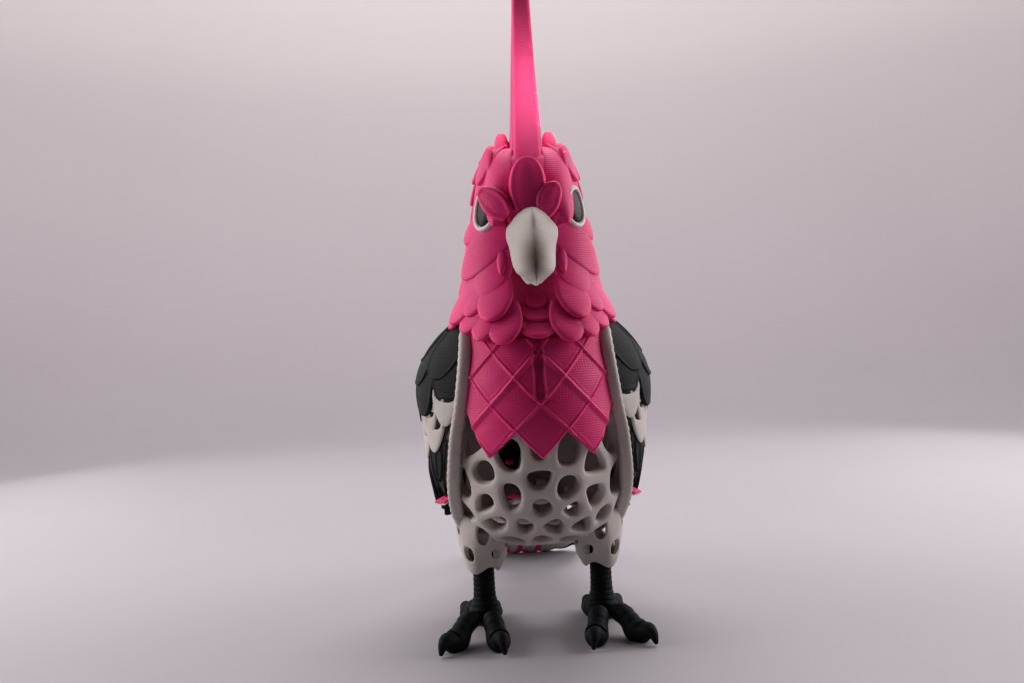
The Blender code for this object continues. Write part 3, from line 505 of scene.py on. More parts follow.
# Three little flame-shaped feathers curl up at each side of the crest's foot.
TUFTS = [
    ((10, -24, 190), (9.6, -17, 208.9), 1.8, 6, 4.3, 2.6),
    ((14.6, -20, 188), (14.2, -13, 205), 1.6, 5.6, 3.4, 2.2),
    ((7.6, -12, 196), (7.8, -5, 208.4), 0.6, 4.6, 3.2, 2),
]
# The tufts take the crest's pink, painted lighter as a painted highlight.
tuft = blades(*zip(*TUFTS), rows=26, around=28, flat=2.4)
make_pair(("crown_tuft", tuft, translucent_pink_painted_lighter, "crown_tuft"))

# ---- Bill ----
# The keeled, hooked bill is printed in bone white and set on the face.  Its plastic is painted
# darker than the other bone white, as painted shade, and an oval of brown painted shade lies
# along the middle of its lower half, where it faces forward, away from the side lamps.
BILL = [
    # height, half width, front, back of the side
    (144.2, 0.6, -53.2, -51), (145.8, 2.2, -54.6, -50.2), (146.8, 4.2, -55.2, -49.4),
    (149.5, 7, -56.3, -48.6), (153, 8.2, -57.1, -44), (159.5, 8.9, -57.3, -37.5),
    (164.6, 9.9, -55.9, -33.5), (166, 9.9, -55, -32.4), (170, 7.4, -52.2, -31),
    (172.6, 5.2, -48.8, -31), (174.2, 3.2, -45.2, -31),
]
LOWER_BILL = [(145.6, 2.8, -44.4, -34.4), (147.4, 4.4, -46.2, -34.3), (150, 5.4, -46.4, -34.2),
              (152.2, 5.6, -44, -34.2)]
# Middle height and half sizes of the oval of brown painted shade on the bill.
SHADE_OVAL_MIDDLE, SHADE_OVAL_HALF_WIDTH, SHADE_OVAL_HALF_HEIGHT = 154.5 * MM, 6.2 * MM, 9.5 * MM

# Bone white polylactide as it comes off the printer: satin, with fine level lines.  The other
# one is the same plastic painted darker, as painted shade on the bill, with an oval of brown
# painted shade, soft at its edge, where the bill's middle faces forward.
bone_white = printed("bone_white_polylactide", "#E2DBD7", "#D6CEC9", 0.42,
                     glow=0.05)
bone_white_painted_shade = printed("bone_white_polylactide_painted_shade", "#CAC2BE", "#BCB4AF",
                  0.5, glow=0.05, gloss=0.12)
tree, shader, place = opened(bone_white_painted_shade)
# How far a point is from the middle of the oval of painted shade, across and up, in the oval's own
# half sizes.
centred = add(tree, "Mapping", {
    "Vector": place, "Location": (0, 0, -SHADE_OVAL_MIDDLE / SHADE_OVAL_HALF_HEIGHT),
    "Scale": (1 / SHADE_OVAL_HALF_WIDTH, 0, 1 / SHADE_OVAL_HALF_HEIGHT)})
away = add(tree, "VectorMath", {0: centred}, out="Value", operation="LENGTH")
# How much painted shade: most at the oval's middle, none past its edge.
shade_oval = add(tree, "MapRange", {"Value": away, "From Min": 0.1, "From Max": 1.35, "To Min": 0.95,
                               "To Max": 0.0}, interpolation_type="SMOOTHSTEP")
# The oval's brown painted shade is mixed over the plastic's own colour.
plain = shader.inputs["Base Color"].links[0].from_socket
feed(shader, {"Base Color": add(tree, "Mix", {0: shade_oval, 6: plain, 7: srgb("#4A3424")}, 2,
                                data_type="RGBA")})

# From the sides the bill rises to its keel as 1 - |sin|^1.45; its rear lies inside the face.
GAPE, FACE_RADIUS = 152, 26.0
h = np.linspace(BILL[0][0], BILL[-1][0], 60)[:, None]
half, front, back = flow(BILL, h)
turn = np.radians(np.linspace(90, -90, 33))[None]
across = half * np.sin(turn)
face = on_body(HEAD, np.degrees(np.arcsin(across / FACE_RADIUS)), h + 0 * across)[..., 1] - 1.0
rear = np.minimum(face, back)
side = np.where(h > GAPE, np.minimum(rear[:, :1], -40.0), rear[:, :1] - 0.3)
nicks = 0.09 * np.abs(np.sin(across * 2.3)) * ridge(h, 147.2, 1.6)
across = across * (1 - nicks)
keel = side + (front - side) * (1 - np.abs(np.sin(turn)) ** 1.45)
keel = np.minimum(keel, rear - 0.25)
bill = np.concatenate([xyz(across, keel, h), xyz(across, rear, h)[:, -2:0:-1]], 1)
make_piece("bill", tubes(bill), bone_white_painted_shade, ["beak_upper"], crease=50)

h = np.linspace(LOWER_BILL[0][0], LOWER_BILL[-1][0], 14)[:, None]
half, front, back = flow(LOWER_BILL, h)
turn = circle(48)
nick = 1 - 0.05 * np.abs(np.sin(7 * turn)) * (h < 148)
lower = xyz(half * np.sin(turn) * nick, (front + back) / 2 - (back - front) / 2 * np.cos(turn), h)
make_piece("lower_bill", tubes(lower), bone_white, ["beak_lower"])

# ---- Eyes ----
# Each eye is a satin dark grey dome pressed into a raised off-white ring on the slant of the
# face, half hidden in front by the brow scale.
EYE_ANGLE, EYE_HEIGHT, EYE_TILT, FACE_PER_RADIAN = 48.0, 176.0, 12.0, 23.5

# Satin grey polylactide laid in the finest lines, so the dome looks almost smooth.
eye_grey = printed("satin_eye_grey", "#171B20", "#101418", 0.3, gloss=0.15,
                   groove=0.02)


def eye_place(long, short, turn, lift):
    """Skin points round the eye: an ellipse tilted back at its top, with a pointed upper end."""
    up = long * np.cos(turn)
    back = short * np.sin(turn) * (1 - 0.16 * np.cos(turn))
    tilt = math.radians(EYE_TILT)
    rise = up * math.cos(tilt) - back * math.sin(tilt)
    behind = up * math.sin(tilt) + back * math.cos(tilt)
    return lifted(HEAD, EYE_ANGLE + np.degrees(behind / FACE_PER_RADIAN), EYE_HEIGHT + rise,
                  lift)


turn, round_it = circle(60), circle(16)[:, None]
size = 0.95 * np.cos(round_it)
ring = eye_place(7.3 + size, 4.8 + size, turn, 1.1 + 1.2 * np.sin(round_it))
g = np.arange(16 * 60).reshape(16, 60)
n = np.roll(g, -1, 0)
ring_faces = np.stack([g, n, np.roll(n, -1, 1), np.roll(g, -1, 1)], -1).reshape(-1, 4)
rise = np.linspace(0, 1, 16)[:, None]
open_to = np.sqrt(1 - rise**2)
dome = eye_place(0.05 + 7.1 * open_to, 0.03 + 4.6 * open_to, turn, 0.7 + 1.4 * rise)
make_pair(("eye_ring", (ring.reshape(-1, 3), ring_faces), bone_white, "eye_ring"),
          ("eye", tubes(dome), eye_grey, "eye"))

# ---- Breast shield ----
# The pink breastplate fills the front between the wing rims, from under the hood down to three
# nicked points.  It is one plate whose surface is stepped into overlapping diamond scales.

# Height, and half the width between the wing rims there.
RIM_LINE = [(28, 27), (44, 30.6), (52, 33.6), (62, 34.4), (84, 32.6), (101, 29.4), (126, 26.6),
            (134, 26.4)]
SCALE_WIDE, SCALE_TALL, SCALE_SIDE = 19.4, 19.6, 15.0
POINT_HEIGHT, BREAST_RADIUS = 79.5, 40.0

# The plate's outline: the lower edge folds up and down between its points.
u, v = grid((0, 1, 249), (0, 1, 197))
share = np.abs(u - 0.5) * 4.3
fold = np.where(share < 1, np.abs((share + 0.5) % 1.0 - 0.5) * 2, (share - 1) * 2.6)
low = POINT_HEIGHT + 9.8 * fold + 0.6 * np.abs((u * 29) % 1 - 0.5)
top = flow(HEM, np.abs(u - 0.5) * 96.0)[0] + 5.0
height = top + (low - top) * v
angle = (u - 0.5) * 2 * angle_at(TRUNK, flow(RIM_LINE, height)[0] + 1.8, height)

# Across each diamond a and b run from 0 to 1.  It has ridges along the edges where one of them
# is 0, fine hatching, a raised line where two scales meet, and a slot down the middle.
arc = np.radians(angle) * BREAST_RADIUS
rise = (height - POINT_HEIGHT) / SCALE_TALL
a, b = (arc / SCALE_WIDE + rise) % 1, (-arc / SCALE_WIDE + rise) % 1
from_edge = np.minimum(a, b) * SCALE_SIDE
lift = 1.9 + 0.7 * (1 - (a + b) / 2) + 0.4 * ridge(from_edge, 0.9, 0.45)
lift += 0.10 * ridge(from_edge, 2.5, 0.4) - 0.35 * ridge(from_edge, 0, 0.25)
hatch = np.clip((a + b - 0.9) * 1.6, 0, 1) * np.clip((height - 96) / 8, 0, 1)
lift += 0.05 * np.sin(arc * 5.2 + 0.8 * np.sin(height)) * hatch
lift += 0.55 * ridge(np.abs(arc) / SCALE_WIDE + rise, 2, 0.05)
lift -= 1.5 / (1 + (arc / 1.9) ** 8) * np.clip((height - 100) / 4, 0, 1)
edge = np.minimum.reduce([v * 45, (1 - v) * 40, u * 62, (1 - u) * 62])
lift -= 1.1 * np.exp(-edge / 0.5)
make_piece("breastplate", layer(TRUNK, angle, height, lift, 0.55), silky_pink,
           ["breast_shield"])

# ---- Openwork trunk and thighs ----
# Trunk and thighs are an organic net of round struts in light grey.  Their cages are the cells
# of a spiral of seeds with each cell opened, and a smoothing surface rounds them.

# Light grey polylactide as printed, not sanded: matt, with lines that soften its highlights.
light_grey = printed("light_grey_polylactide", "#C6BDB7", "#B6ADA7", 0.5,
                     gloss=0.3)
# The dark grey is the same plastic with more pigment: duller, and nearly black in its hollows.
dark_grey = printed("dark_grey_polylactide", "#0E1115", "#090B0E", 0.62,
                    gloss=0.12)
SEED_COUNT, SEED_JITTER, SEED_GAP = 118, 0.045, 0.255
NET_WALL, STRUT, LEAST_ROOM, THIGH_WALL = 5.4, 2.3, 4.75, 2.4
BELLY_OPENINGS = [  # across, height
    (-12, 81), (10, 81), (21, 75), (-28, 86), (28, 84), (-1, 80), (-24, 73), (-1, 71),
    (-13, 63), (9, 66), (-1, 59), (-32, 66), (32, 65), (-33, 53), (33, 53), (-22, 60),
    (21, 62), (-18, 51), (13, 57), (-8, 49), (4, 49), (15, 48), (25, 51), (-27, 44),
    (27, 44), (-12, 42), (0, 43), (11, 41),
]
# The seeds' sphere is spread over the trunk; each cut is a point and the normal that points off.
TRUNK_MIDDLE, TRUNK_SPREAD = np.array([0.0, 18.0, 82.0]), np.array([38.0, 62.0, 48.0])
HOOD_CUT = (np.array([0.0, -42.0, 120.5]), np.array([0.0, -0.131, 0.991]))
TAIL_CUT = (np.array([0.0, 83.0, 48.0]), np.array([0.0, 0.848, -0.530]))


def field(keys, point):
    """Below 0 inside the body: (x / half)^2 + ((y - middle) / depth)^2 - 1."""
    half, front, middle, back = flow(keys, point[..., 2])
    along = point[..., 1] - middle
    along = along / np.where(along < 0, middle - front, back - middle)
    outside = (point[..., 2] < keys[0][0]) | (point[..., 2] > keys[-1][0])
    return np.where(outside, 9.0, (point[..., 0] / half) ** 2 + along**2 - 1.0)


def reach(keys, start, way, far):
    """Distance to the skin from each start along its way, by halving."""
    near, far = np.zeros(start.shape[:-1]), np.full(start.shape[:-1], float(far))
    first = field(keys, start) < 0
    for _ in range(32):
        half = (near + far) / 2
        same = (field(keys, start + way * half[..., None]) < 0) == first
        near, far = np.where(same, half, near), np.where(same, far, half)
    return near


def seed_cells(seeds):
    """Corners and rings of the cells of seeds on a sphere: faces of the hull become corners."""
    hull = bmesh.new()
    for seed in seeds:
        hull.verts.new(seed)
    bmesh.ops.convex_hull(hull, input=hull.verts[:])
    hull.verts.ensure_lookup_table()
    hull.faces.index_update()
    hull.normal_update()
    corners = np.array([f.normal for f in hull.faces])
    cells = []
    for vert in hull.verts:
        if vert.link_loops:
            loop = start = vert.link_loops[0]
            cells.append([])
            while True:
                cells[-1].append(loop.face.index)
                loop = loop.link_loop_prev.link_loop_radial_next
                if loop == start:
                    break
    hull.free()
    return corners, cells


def cut_cells(points, cells, origin, normal):
    """Cells cut by a plane, with each new corner shared; a point is outer and inner xyz."""
    points = [p.copy() for p in points]
    height = [float((p[:3] - origin) @ normal) for p in points]
    for i, away in enumerate(height):
        if abs(away) < 1.2:
            points[i][:3] -= normal * away
            height[i] = 0.0
    made, kept = {}, []
    for cell in cells:
        ring = []
        for a, b in zip(cell, cell[1:] + cell[:1]):
            if height[a] <= 0:
                ring.append(a)
            if height[a] * height[b] < 0:
                key = (min(a, b), max(a, b))
                if key not in made:
                    share = height[a] / (height[a] - height[b])
                    made[key] = len(points)
                    points.append(points[a] + share * (points[b] - points[a]))
                    height.append(0.0)
                ring.append(made[key])
        if len(ring) > 2:
            kept.append(ring)
    for p in points:
        p[3:] -= normal * max(0.0, float((p[3:] - origin) @ normal))
    return points, kept


def net_piece(name, outer, inner, cells, shares, nodes, mirror=False):
    """A wall of two skins with an opening drawn in to a share of each cell, then smoothed."""
    count = len(outer)
    points, faces, edges = [*outer, *inner], [], set()
    for cell, share in zip(cells, shares):
        edges |= set(zip(cell, cell[1:] + cell[:1]))
        if not share:
            faces += [cell, [count + i for i in reversed(cell)]]
            continue
        rims = []
        for skin in (outer, inner):
            ring = skin[cell]
            rims.append(list(range(len(points), len(points) + len(cell))))
            points += list(ring.mean(0) + (ring - ring.mean(0)) * share)
        for k, (a, b) in enumerate(zip(cell, cell[1:] + cell[:1])):
            n = (k + 1) % len(cell)
            near, far = rims
            faces += [[a, b, near[n], near[k]], [count + b, count + a, far[k], far[n]],
                      [near[k], near[n], far[n], far[k]]]
    faces += [[b, a, count + a, count + b] for a, b in sorted(edges) if (b, a) not in edges]
    points = (np.array(points) + [0, LEGS_Y, 0]) * MM
    mesh = bpy.data.meshes.new(name)
    mesh.from_pydata((points * ([-1, 1, 1] if mirror else [1, 1, 1])).tolist(), [], faces)
    tidy = bmesh.new()
    tidy.from_mesh(mesh)
    loose = [v for v in tidy.verts if not v.link_faces]
    bmesh.ops.delete(tidy, geom=loose, context="VERTS")
    bmesh.ops.recalc_face_normals(tidy, faces=tidy.faces)
    tidy.to_mesh(mesh)
    tidy.free()
    rounder = declared(name, mesh, light_grey, nodes).modifiers.new("round_struts", "SUBSURF")
    rounder.levels = rounder.render_levels = 2


across, up = np.array(BELLY_OPENINGS, float).T
half, front, middle, _ = flow(TRUNK, up)
along = middle - (middle - front) * np.sqrt(np.clip(1 - (across / half) ** 2, 0, 1))
chosen = unit((xyz(across, along, up) - TRUNK_MIDDLE) / TRUNK_SPREAD)
rng = np.random.default_rng(7)
order = np.arange(SEED_COUNT) + 0.5
level, turn = 1 - 2 * order / SEED_COUNT, order * math.pi * (3 - math.sqrt(5))
flat = np.sqrt(1 - level**2)
spiral = xyz(flat * np.cos(turn), flat * np.sin(turn), level)
spiral = unit(spiral + rng.normal(0, SEED_JITTER, spiral.shape))
apart = np.linalg.norm(spiral[:, None] - chosen[None], axis=2).min(1)
corners, cells = seed_cells(np.vstack([chosen, spiral[apart > SEED_GAP]]))
way = unit(corners * TRUNK_SPREAD)
start = np.tile(TRUNK_MIDDLE, (len(way), 1))
skin = start + way * reach(TRUNK, start, way, 120.0)[:, None]
points = list(np.hstack([skin, skin - way * NET_WALL]))
for plane in (HOOD_CUT, TAIL_CUT):
    points, cells = cut_cells(points, cells, *plane)
points = np.array(points)

# A cell stays shut where the wings, the hood or the mantle hide it, or where it is too small.
shares = []
for cell in cells:
    ring = points[cell, :3]
    across, along, up = ring.mean(0)
    room = np.linalg.norm((ring + np.roll(ring, -1, 0)) / 2 - ring.mean(0), axis=1).mean()
    hidden = ((abs(across) > 24 and up > 58 - 0.22 * max(0, along - 10) and along > -16)
              or (along < 10 and up > 91) or (along > 10 and up > 88))
    strut = STRUT + 0.5 * math.sin(9 * along)
    shares.append(0.0 if hidden or room < LEAST_ROOM else 1 - strut / room)
net_piece("openwork_trunk", points[:, :3], points[:, 3:], cells, shares,
          ["trunk_breast", "trunk_belly", "trunk_vent", "trunk_rump", "trunk_back",
           "trunk_flank_l", "trunk_flank_r"])

# A closed wall behind the net's rear half, and loose ends of the print inside it.
u, v = grid((78, 282, 60), (38, 121, 50))
lining = layer(TRUNK, u, v, -7.0 + 0.5 * np.sin(u / 9) * np.sin(v / 5), -8.4)
make_piece("rear_lining", lining, light_grey)
scraps = [  # across, back and up, half sizes, and which plastic
    ((-0.6, -31.0, 67.6), (1.9, 0.8, 1.7), light_grey),
    ((9.4, -30.0, 64.6), (1.1, 1.6, 1.5), light_grey),
    ((-12.6, -26.0, 80.0), (5.2, 3.0, 7.5), dark_grey),
    ((-11.4, -31.0, 63.4), (2.8, 0.8, 0.8), silky_pink),
    ((-12.4, -29.4, 76.6), (1.6, 0.8, 0.9), silky_pink),
]
turn, s = circle(16), np.linspace(-1, 1, 11)[:, None]
for number, (spot, size, plastic) in enumerate(scraps):
    wide = (1 - s**4) ** 0.5 * (1 + 0.18 * np.sin(5 * turn + 7 * s + number)) + 0.02
    lump = xyz(s, np.cos(turn) * wide, np.sin(turn) * wide + 0.35 * s**2)
    make_piece(f"loose_end_{number + 1}", tubes(np.array(spot) + lump * size), plastic)

# The thigh sleeves grow out of the net, with tall oval openings and a ragged hem.
COLUMNS, LEVELS = 10, (0, 0.2, 0.5, 1.0)
turn = circle(COLUMNS)
outward = xyz(np.cos(turn), np.sin(turn), 0)
skins = []
for inset in (0.0, THIGH_WALL):
    foot = xyz(25.3 + (8.0 - inset) * np.cos(turn), 0.3 + (8.0 - inset) * np.sin(turn),
               28.0 + 2.6 * np.cos(3 * turn))
    wide = xyz(24.2 + (10.7 - inset) * np.cos(turn), 3.0 + (14.6 - inset) * np.sin(turn), 45.0)
    way = unit(wide - foot)
    head = foot + way * (reach(TRUNK, foot, way, 27.0) + 6.5)[:, None]
    skins.append(np.vstack([
        foot + (head - foot) * s + outward * (1.2 * math.sin(math.pi * s) + 0.9 * s * s)
        for s in LEVELS]))
cells, shares = [], []
for r in range(len(LEVELS) - 1):
    for i in range(COLUMNS):
        k, n = r * COLUMNS + i, r * COLUMNS + (i + 1) % COLUMNS
        cells.append([k, n, n + COLUMNS, k + COLUMNS])
        shares.append(0.82 if (r + i) % 2 and r else 0.0)
for word, flip in SIDES:
    net_piece(f"thigh_{word}", *skins, cells, shares, [f"thigh_{word[0]}"], flip)

# ---- Wings ----
# A folded wing is a light plate with a thick rounded front rim.  Dark rimmed scales cover the
# shoulder, light coverts with open cells lie below them, and dark ridged flights come last.

# Height and how far out the plate starts; then the wing's slices, with the columns of HEAD.
RIM_X = [(28, 34.5), (45, 37.2), (60, 37), (84, 34.2), (101, 30.8), (131, 28.8), (134, 28.6)]
WING = [
    (28, 34, -12, 20, 127), (36, 36.5, -14, 20, 122),
    (44, 38.2, -20, 18, 113), (50, 39.5, -27, 16, 106),
    (55, 41.2, -32, 14, 101), (60, 43.2, -35, 12, 97),
    (72, 47.6, -40.5, 11, 84), (90, 49.6, -43, 10, 69.5),
    (105, 51.5, -43.5, 10, 59), (113, 50.2, -43, 9, 54),
    (121, 46.6, -42, 8, 49), (128, 41.6, -40, 6, 45),
    (134, 35.6, -37, 4, 41),
]
REAR_EDGE, WING_PER_RADIAN = 162.0, 44.0


def wing_rows(u):
    """Heights of the five lines that part the rows, from the front (0) to the rear (1)."""
    return flow([
        (0, 128, 104, 86, 59, 52.5), (0.15, 131, 97.5, 78.5, 56, 47.5),
        (0.36, 131.5, 93.5, 75.5, 54, 44.5), (0.64, 129, 85, 65.5, 50, 40),
        (0.85, 124.5, 77.5, 57, 43, 34.5), (1, 119, 72, 51, 37, 30.5),
    ], u)


def wing_angle(u, height, inset=4.7):
    """Angle at a share u of the way from the rim's inner edge back to the rear edge."""
    front = angle_at(WING, flow(RIM_X, height)[0] + inset, height)
    return front + (REAR_EDGE - front) * u


def band(top, low, under, over, start=0.4, lobes=7, depth=2.4):
    """A closed sheet between two row lines, its lower edge cut in |sin| lobes."""
    u, v = grid((0, 1, 120), (0, 1, 26))
    rows = wing_rows(u)
    tip = np.where(v > 0.5, depth * (1 - np.abs(np.sin(np.pi * lobes * u))), 0.0) * v
    height = rows[top] - start + (rows[low] + 0.6 - rows[top] + start) * v + tip
    return layer(WING, wing_angle(u, height), height, over, under)


def feather_row(count, first, share, top, low, after=0.0, **looks):
    """Feathers side by side along a wing row; share is how far down the row their tips lie."""
    u = (np.arange(count) + first) / count
    u = u[(u > after) & (u < 1.0)]
    rows = wing_rows(u)
    tip = rows[top] + (rows[low] - rows[top]) * share
    angle = wing_angle(u, tip)
    looks = {k: (w(u) if callable(w) else w) for k, w in looks.items()}
    return leaves(WING, angle, tip, least=behind_rim, **looks)


def behind_rim(height):
    """Angle where the front rim's middle runs; no feather reaches past it."""
    return wing_angle(0, height, 0.5)


def ladder_leaves(u, tip, length, width, lean, under, over):
    """Cage of leaves, three cells up each; half widths 0.8, 1, 0.86, 0.34 from root to tip."""
    u, tip, lean, over = [v[:, None, None] for v in (u, tip, lean, over)]
    s = np.array([0.0, 0.34, 0.68, 1.0])[:, None]
    half = width / 2 * np.array([0.8, 1.0, 0.86, 0.34])[:, None]
    way = np.radians(lean)
    along, across = (s - 1) * length, np.array([-1.0, 1.0]) * half
    a = wing_angle(u, tip) + np.degrees(
        (np.sin(way) * along + np.cos(way) * across) / WING_PER_RADIAN)
    h = tip - np.cos(way) * along + np.sin(way) * across
    rise = under + (over - under) * s
    skins = [lifted(WING, a, h, rise - depth).reshape(-1, 3) for depth in (0.0, 2.2)]
    first = np.arange(0, skins[0].shape[0], 2).reshape(-1, 4)[:, :-1].reshape(-1, 1)
    return skins, (first + [0, 1, 3, 2]).tolist()


shoulder = gather(band(0, 1, -2.4, -1.6, start=0.0, lobes=5), *[
    feather_row(5, first, share, 0, 1, after, length=26, width=25, root=-1.9, raised=rise,
                lean=lambda u: 4 + 20 * u, dome=0.5, rim=0.5, thick=1.3, rows=34, columns=35)
    for first, share, rise, after in ((0.0, 0.36, -0.9, 0.3), (0.5, 0.66, -0.7, 0.0),
                                      (0.1, 1.04, -0.5, 0.0))])
flights = gather(band(1, 2, -2.4, -1.9), band(2, 4, -2.3, -1.8), *[
    feather_row(9, first, share, 2, 4, length=lambda u: 26 + 14 * u, width=13.0, root=-1.9,
                raised=rise, lean=lambda u: 8 + 28 * u, dome=0.3, rim=0.35, shaft=0.5, sharp=0.8,
                thick=1.0, rows=34, columns=23)
    for first, share, rise in ((0.2, 0.55, -1.2), (0.7, 0.78, -0.9), (0.3, 1.0, -0.7))],
    leaves(WING, wing_angle(np.array([0.03, 0.10, 0.18]), np.array([48.0, 50.0, 53.5]), 3.0),
           [48.0, 50.0, 53.5], [28, 27, 25], 13, root=-1.4, raised=[1.6, 3.2, 4.4],
           lean=[0, 2, 3], dome=0.3, shaft=0.5, rim=0.3, sharp=0.5, thick=2.2, rows=40,
           columns=23, least=behind_rim))

# Two rows of coverts, each leaf with two open cells and a closed tip.
COVERTS = 7
u = (np.arange(COVERTS) + [[0.12], [0.62]]).ravel() / COVERTS
share, over = np.repeat([[0.60, 1.0], [0.1, 0.6]], COVERTS, axis=1)
rows = wing_rows(u)
skins, cells = ladder_leaves(u, rows[1] + (rows[2] - rows[1]) * share - 2, 29.0, 18.0,
                             8 + 22 * u, -1.5, over)
for word, flip in SIDES:
    net_piece(f"covert_feathers_{word}", *skins, cells, [0.7, 0.74, 0.0] * len(u),
              [f"wing_coverts_{word[0]}"], flip)

# A thin pink strip over a white one crosses the foremost flights near their tips.
strips = []
for up, tall in ((58.9, 0.55), (57.8, 0.35)):
    u, v = grid((0.0, 0.15, 24), (-1, 1, 5))
    height = up - 1.2 * u / 0.17 + tall * v
    strips.append(layer(WING, wing_angle(u, height, 1.5), height, 1.6 + 12 * u - 0.2 * v**2,
                        -1.4))

# The light plate lies under the feathers, and a round rim runs along its front edge.
u, v = grid((0, 1, 60), (0, 1, 50))
rows = wing_rows(u)
height = rows[0] - 2.4 + (rows[3] - rows[0] + 2.4 + 8.0 * u**3) * v
plate = layer(WING, wing_angle(u, height, 1.0), height, -3.5, -4.9)

RIM_LOW, RIM_TOP, RIM_HALF_WIDTH, RIM_HALF_DEPTH = 43.0, 131.0, 2.7, 4.4
h, turn = np.linspace(RIM_LOW, RIM_TOP, 160)[:, None], circle(28)
centre = on_body(WING, angle_at(WING, flow(RIM_LINE, h)[0] + 0.9, h), h)
swell = 1 + 0.04 * np.sin(h * 2.1) + 0.03 * np.sin(h * 5.3 + 1)
end = np.sqrt(np.clip(np.minimum(h - RIM_LOW + 0.4, RIM_TOP + 0.4 - h) / 4, 0.02, 1))
rim = tubes(centre + xyz(RIM_HALF_WIDTH * swell * end * eased(np.cos(turn), 0.6),
                         RIM_HALF_DEPTH * end * eased(np.sin(turn), 0.7) + 3.6, 0))
make_pair(("wing_plate", gather(plate, rim), light_grey, "wing_plate"),
          ("shoulder_scales", shoulder, dark_grey, "wing_shoulder"),
          ("pink_strip", strips[0], silky_pink, None),
          ("white_strip", strips[1], bone_white, None),
          ("flight_feathers", flights, dark_grey, "wing_flights"))

# ---- Mantle ----
# The upper back between the wings is a dark plate under five rows of rimmed scales, printed
# in one with them, and its top slips under the hood.
u, v = grid((-1, 1, 50), (0, 1, 40))
top = 131.0 - 2.0 * u**2
low = 86.0 + 3.5 * np.abs(np.cos(np.pi * (u + 1) * 1.25))
height = top + (low - top) * v
wide = 13.2 + 11.0 * np.clip((height - 112.5) / 6.0, 0, 1) ** 1.5
angle = 180 + angle_at(TRUNK, u * wide, height)
mantle = layer(TRUNK, angle, height, 1.2, 0.55)
back_rows = [leaves(TRUNK, 180 + np.array(spots) * 18.0, z, 13, 10.5, root=0.8, raised=2.2,
                    dome=0.3, rim=0.35, thick=1.0)
             for z, spots in ((117, (-0.5, 0.5)), (110, (-1, 0, 1)), (102.5, (-0.5, 0.5)),
                              (95, (-1, 0, 1)), (87.5, (-0.5, 0.5)))]
make_piece("mantle_scales", gather(mantle, *back_rows), dark_grey, ["mantle"])

# ---- Feet ----
# Two toes point forward and two back, as in every parrot.  Narrow scutes ring the tarsus and
# cross the toes, and the pads are flattened where they bear on the floor.
TOES = {  # how far the claw's tip is out from the leg, and back from it
    "front_outer": (18, -26.5), "front_inner": (-7.5, -29),
    "rear_outer": (10.5, 25.2), "rear_inner": (-4.5, 25.6),
}
LEG_X = 25.0
TARSUS = [(4.6, 4.6), (6.5, 6.4), (9.5, 6.8), (13, 5.7), (17, 4.7), (24, 4.5), (31, 4.5),
          (35, 4.2)]
h, turn = np.linspace(TARSUS[0][0], TARSUS[-1][0], 150)[:, None], circle(40)
scute = 0.32 * (np.abs(np.sin(np.pi * (h + 0.5 * np.cos(2 * turn)) / 2.1)) ** 0.6 - 0.6)
radius = flow(TARSUS, h)[0] + scute * np.clip((h - 6) / 3, 0, 1)
shank = xyz(LEG_X + radius * np.cos(turn), radius * np.sin(turn), h)


def toe_rings(out, ahead):
    """Rings along a toe's arch; the radius swells by |sin| scutes over the upper side."""
    length = math.hypot(out, ahead)
    way = out / length, ahead / length
    size = 0.92 if ahead > 0 else 1.0
    stations = np.array([  # share of the length, height, radius
        (7.2 / length, 8.4, 3.3), (0.38, 8.8, 3.9), (0.52, 6.8, 4.4), (0.63, 3.9, 4.8),
        (0.74, 3.9, 4.4), (0.81, 5.0, 3.6), (0.87, 5.6, 3.1), (0.94, 4.4, 2.2), (1.0, 1.0, 0.7)])
    s = np.linspace(stations[0, 0], 1, 90)
    up, radius = flow(stations, s) * size
    path = xyz(LEG_X + way[0] * length * s, way[1] * length * s, up)
    tangent = unit(np.gradient(path, axis=0))
    side = unit(np.cross(tangent, [0, 0, 1.0]))
    over = np.cross(side, tangent)
    turn = circle(28)
    on_toe = np.clip((0.84 - s) / 0.05, 0, 1)[:, None]
    joint = 0.25 * np.cos(2 * math.pi * (s * length - 12) / 9.5)[:, None]
    wave = 0.34 * (np.abs(np.sin(math.pi * s * length / 2.6)) ** 0.6 - 0.6)[:, None]
    r = radius[:, None] + on_toe * (joint + wave * np.clip(np.sin(turn) + 0.4, 0, 1))
    ring = (path[:, None] + r[..., None] * (np.cos(turn)[None, :, None] * side[:, None]
                                            + np.sin(turn)[None, :, None] * over[:, None]))
    ring[..., 2] = np.maximum(ring[..., 2], 0.0)
    return ring


make_pair(("tarsus", tubes(shank), dark_grey, "leg"),
          *[(f"toe_{toe}", tubes(toe_rings(*tip)), dark_grey, f"toe_{toe}")
            for toe, tip in TOES.items()])

# ---- Tail ----
# Twelve dark feathers overlap in a fan from the middle outwards, and their ends rest on the
# floor.  Light under-tail coverts fill the corner below the root.
TAIL_LINE = [
    # share of the length, back, up, half width, thickness
    (0, 85.3, 50, 15, 9), (0.3, 100.5, 34.5, 19.5, 6), (0.6, 117.5, 19.8, 25, 4),
    (0.85, 132.5, 8.6, 29, 2.8), (1, 141.5, 0.5, 30, 1.8),
]


def tail_skin(u, v, lift):
    """The tail's sheet: its middle line spread to its width; lift is in half thicknesses."""
    end = 0.09 * np.abs(u) ** 3 + 0.02 * (1 - np.abs(np.cos(np.pi * u * 3)))
    along, up, half, thick = flow(TAIL_LINE, np.clip(v * (1 - end), 0, 1))
    arch = 4.0 * (1 - v) * u**2
    return xyz(u * half, along + lift * thick * 0.53, up - arch + lift * thick * 0.85)


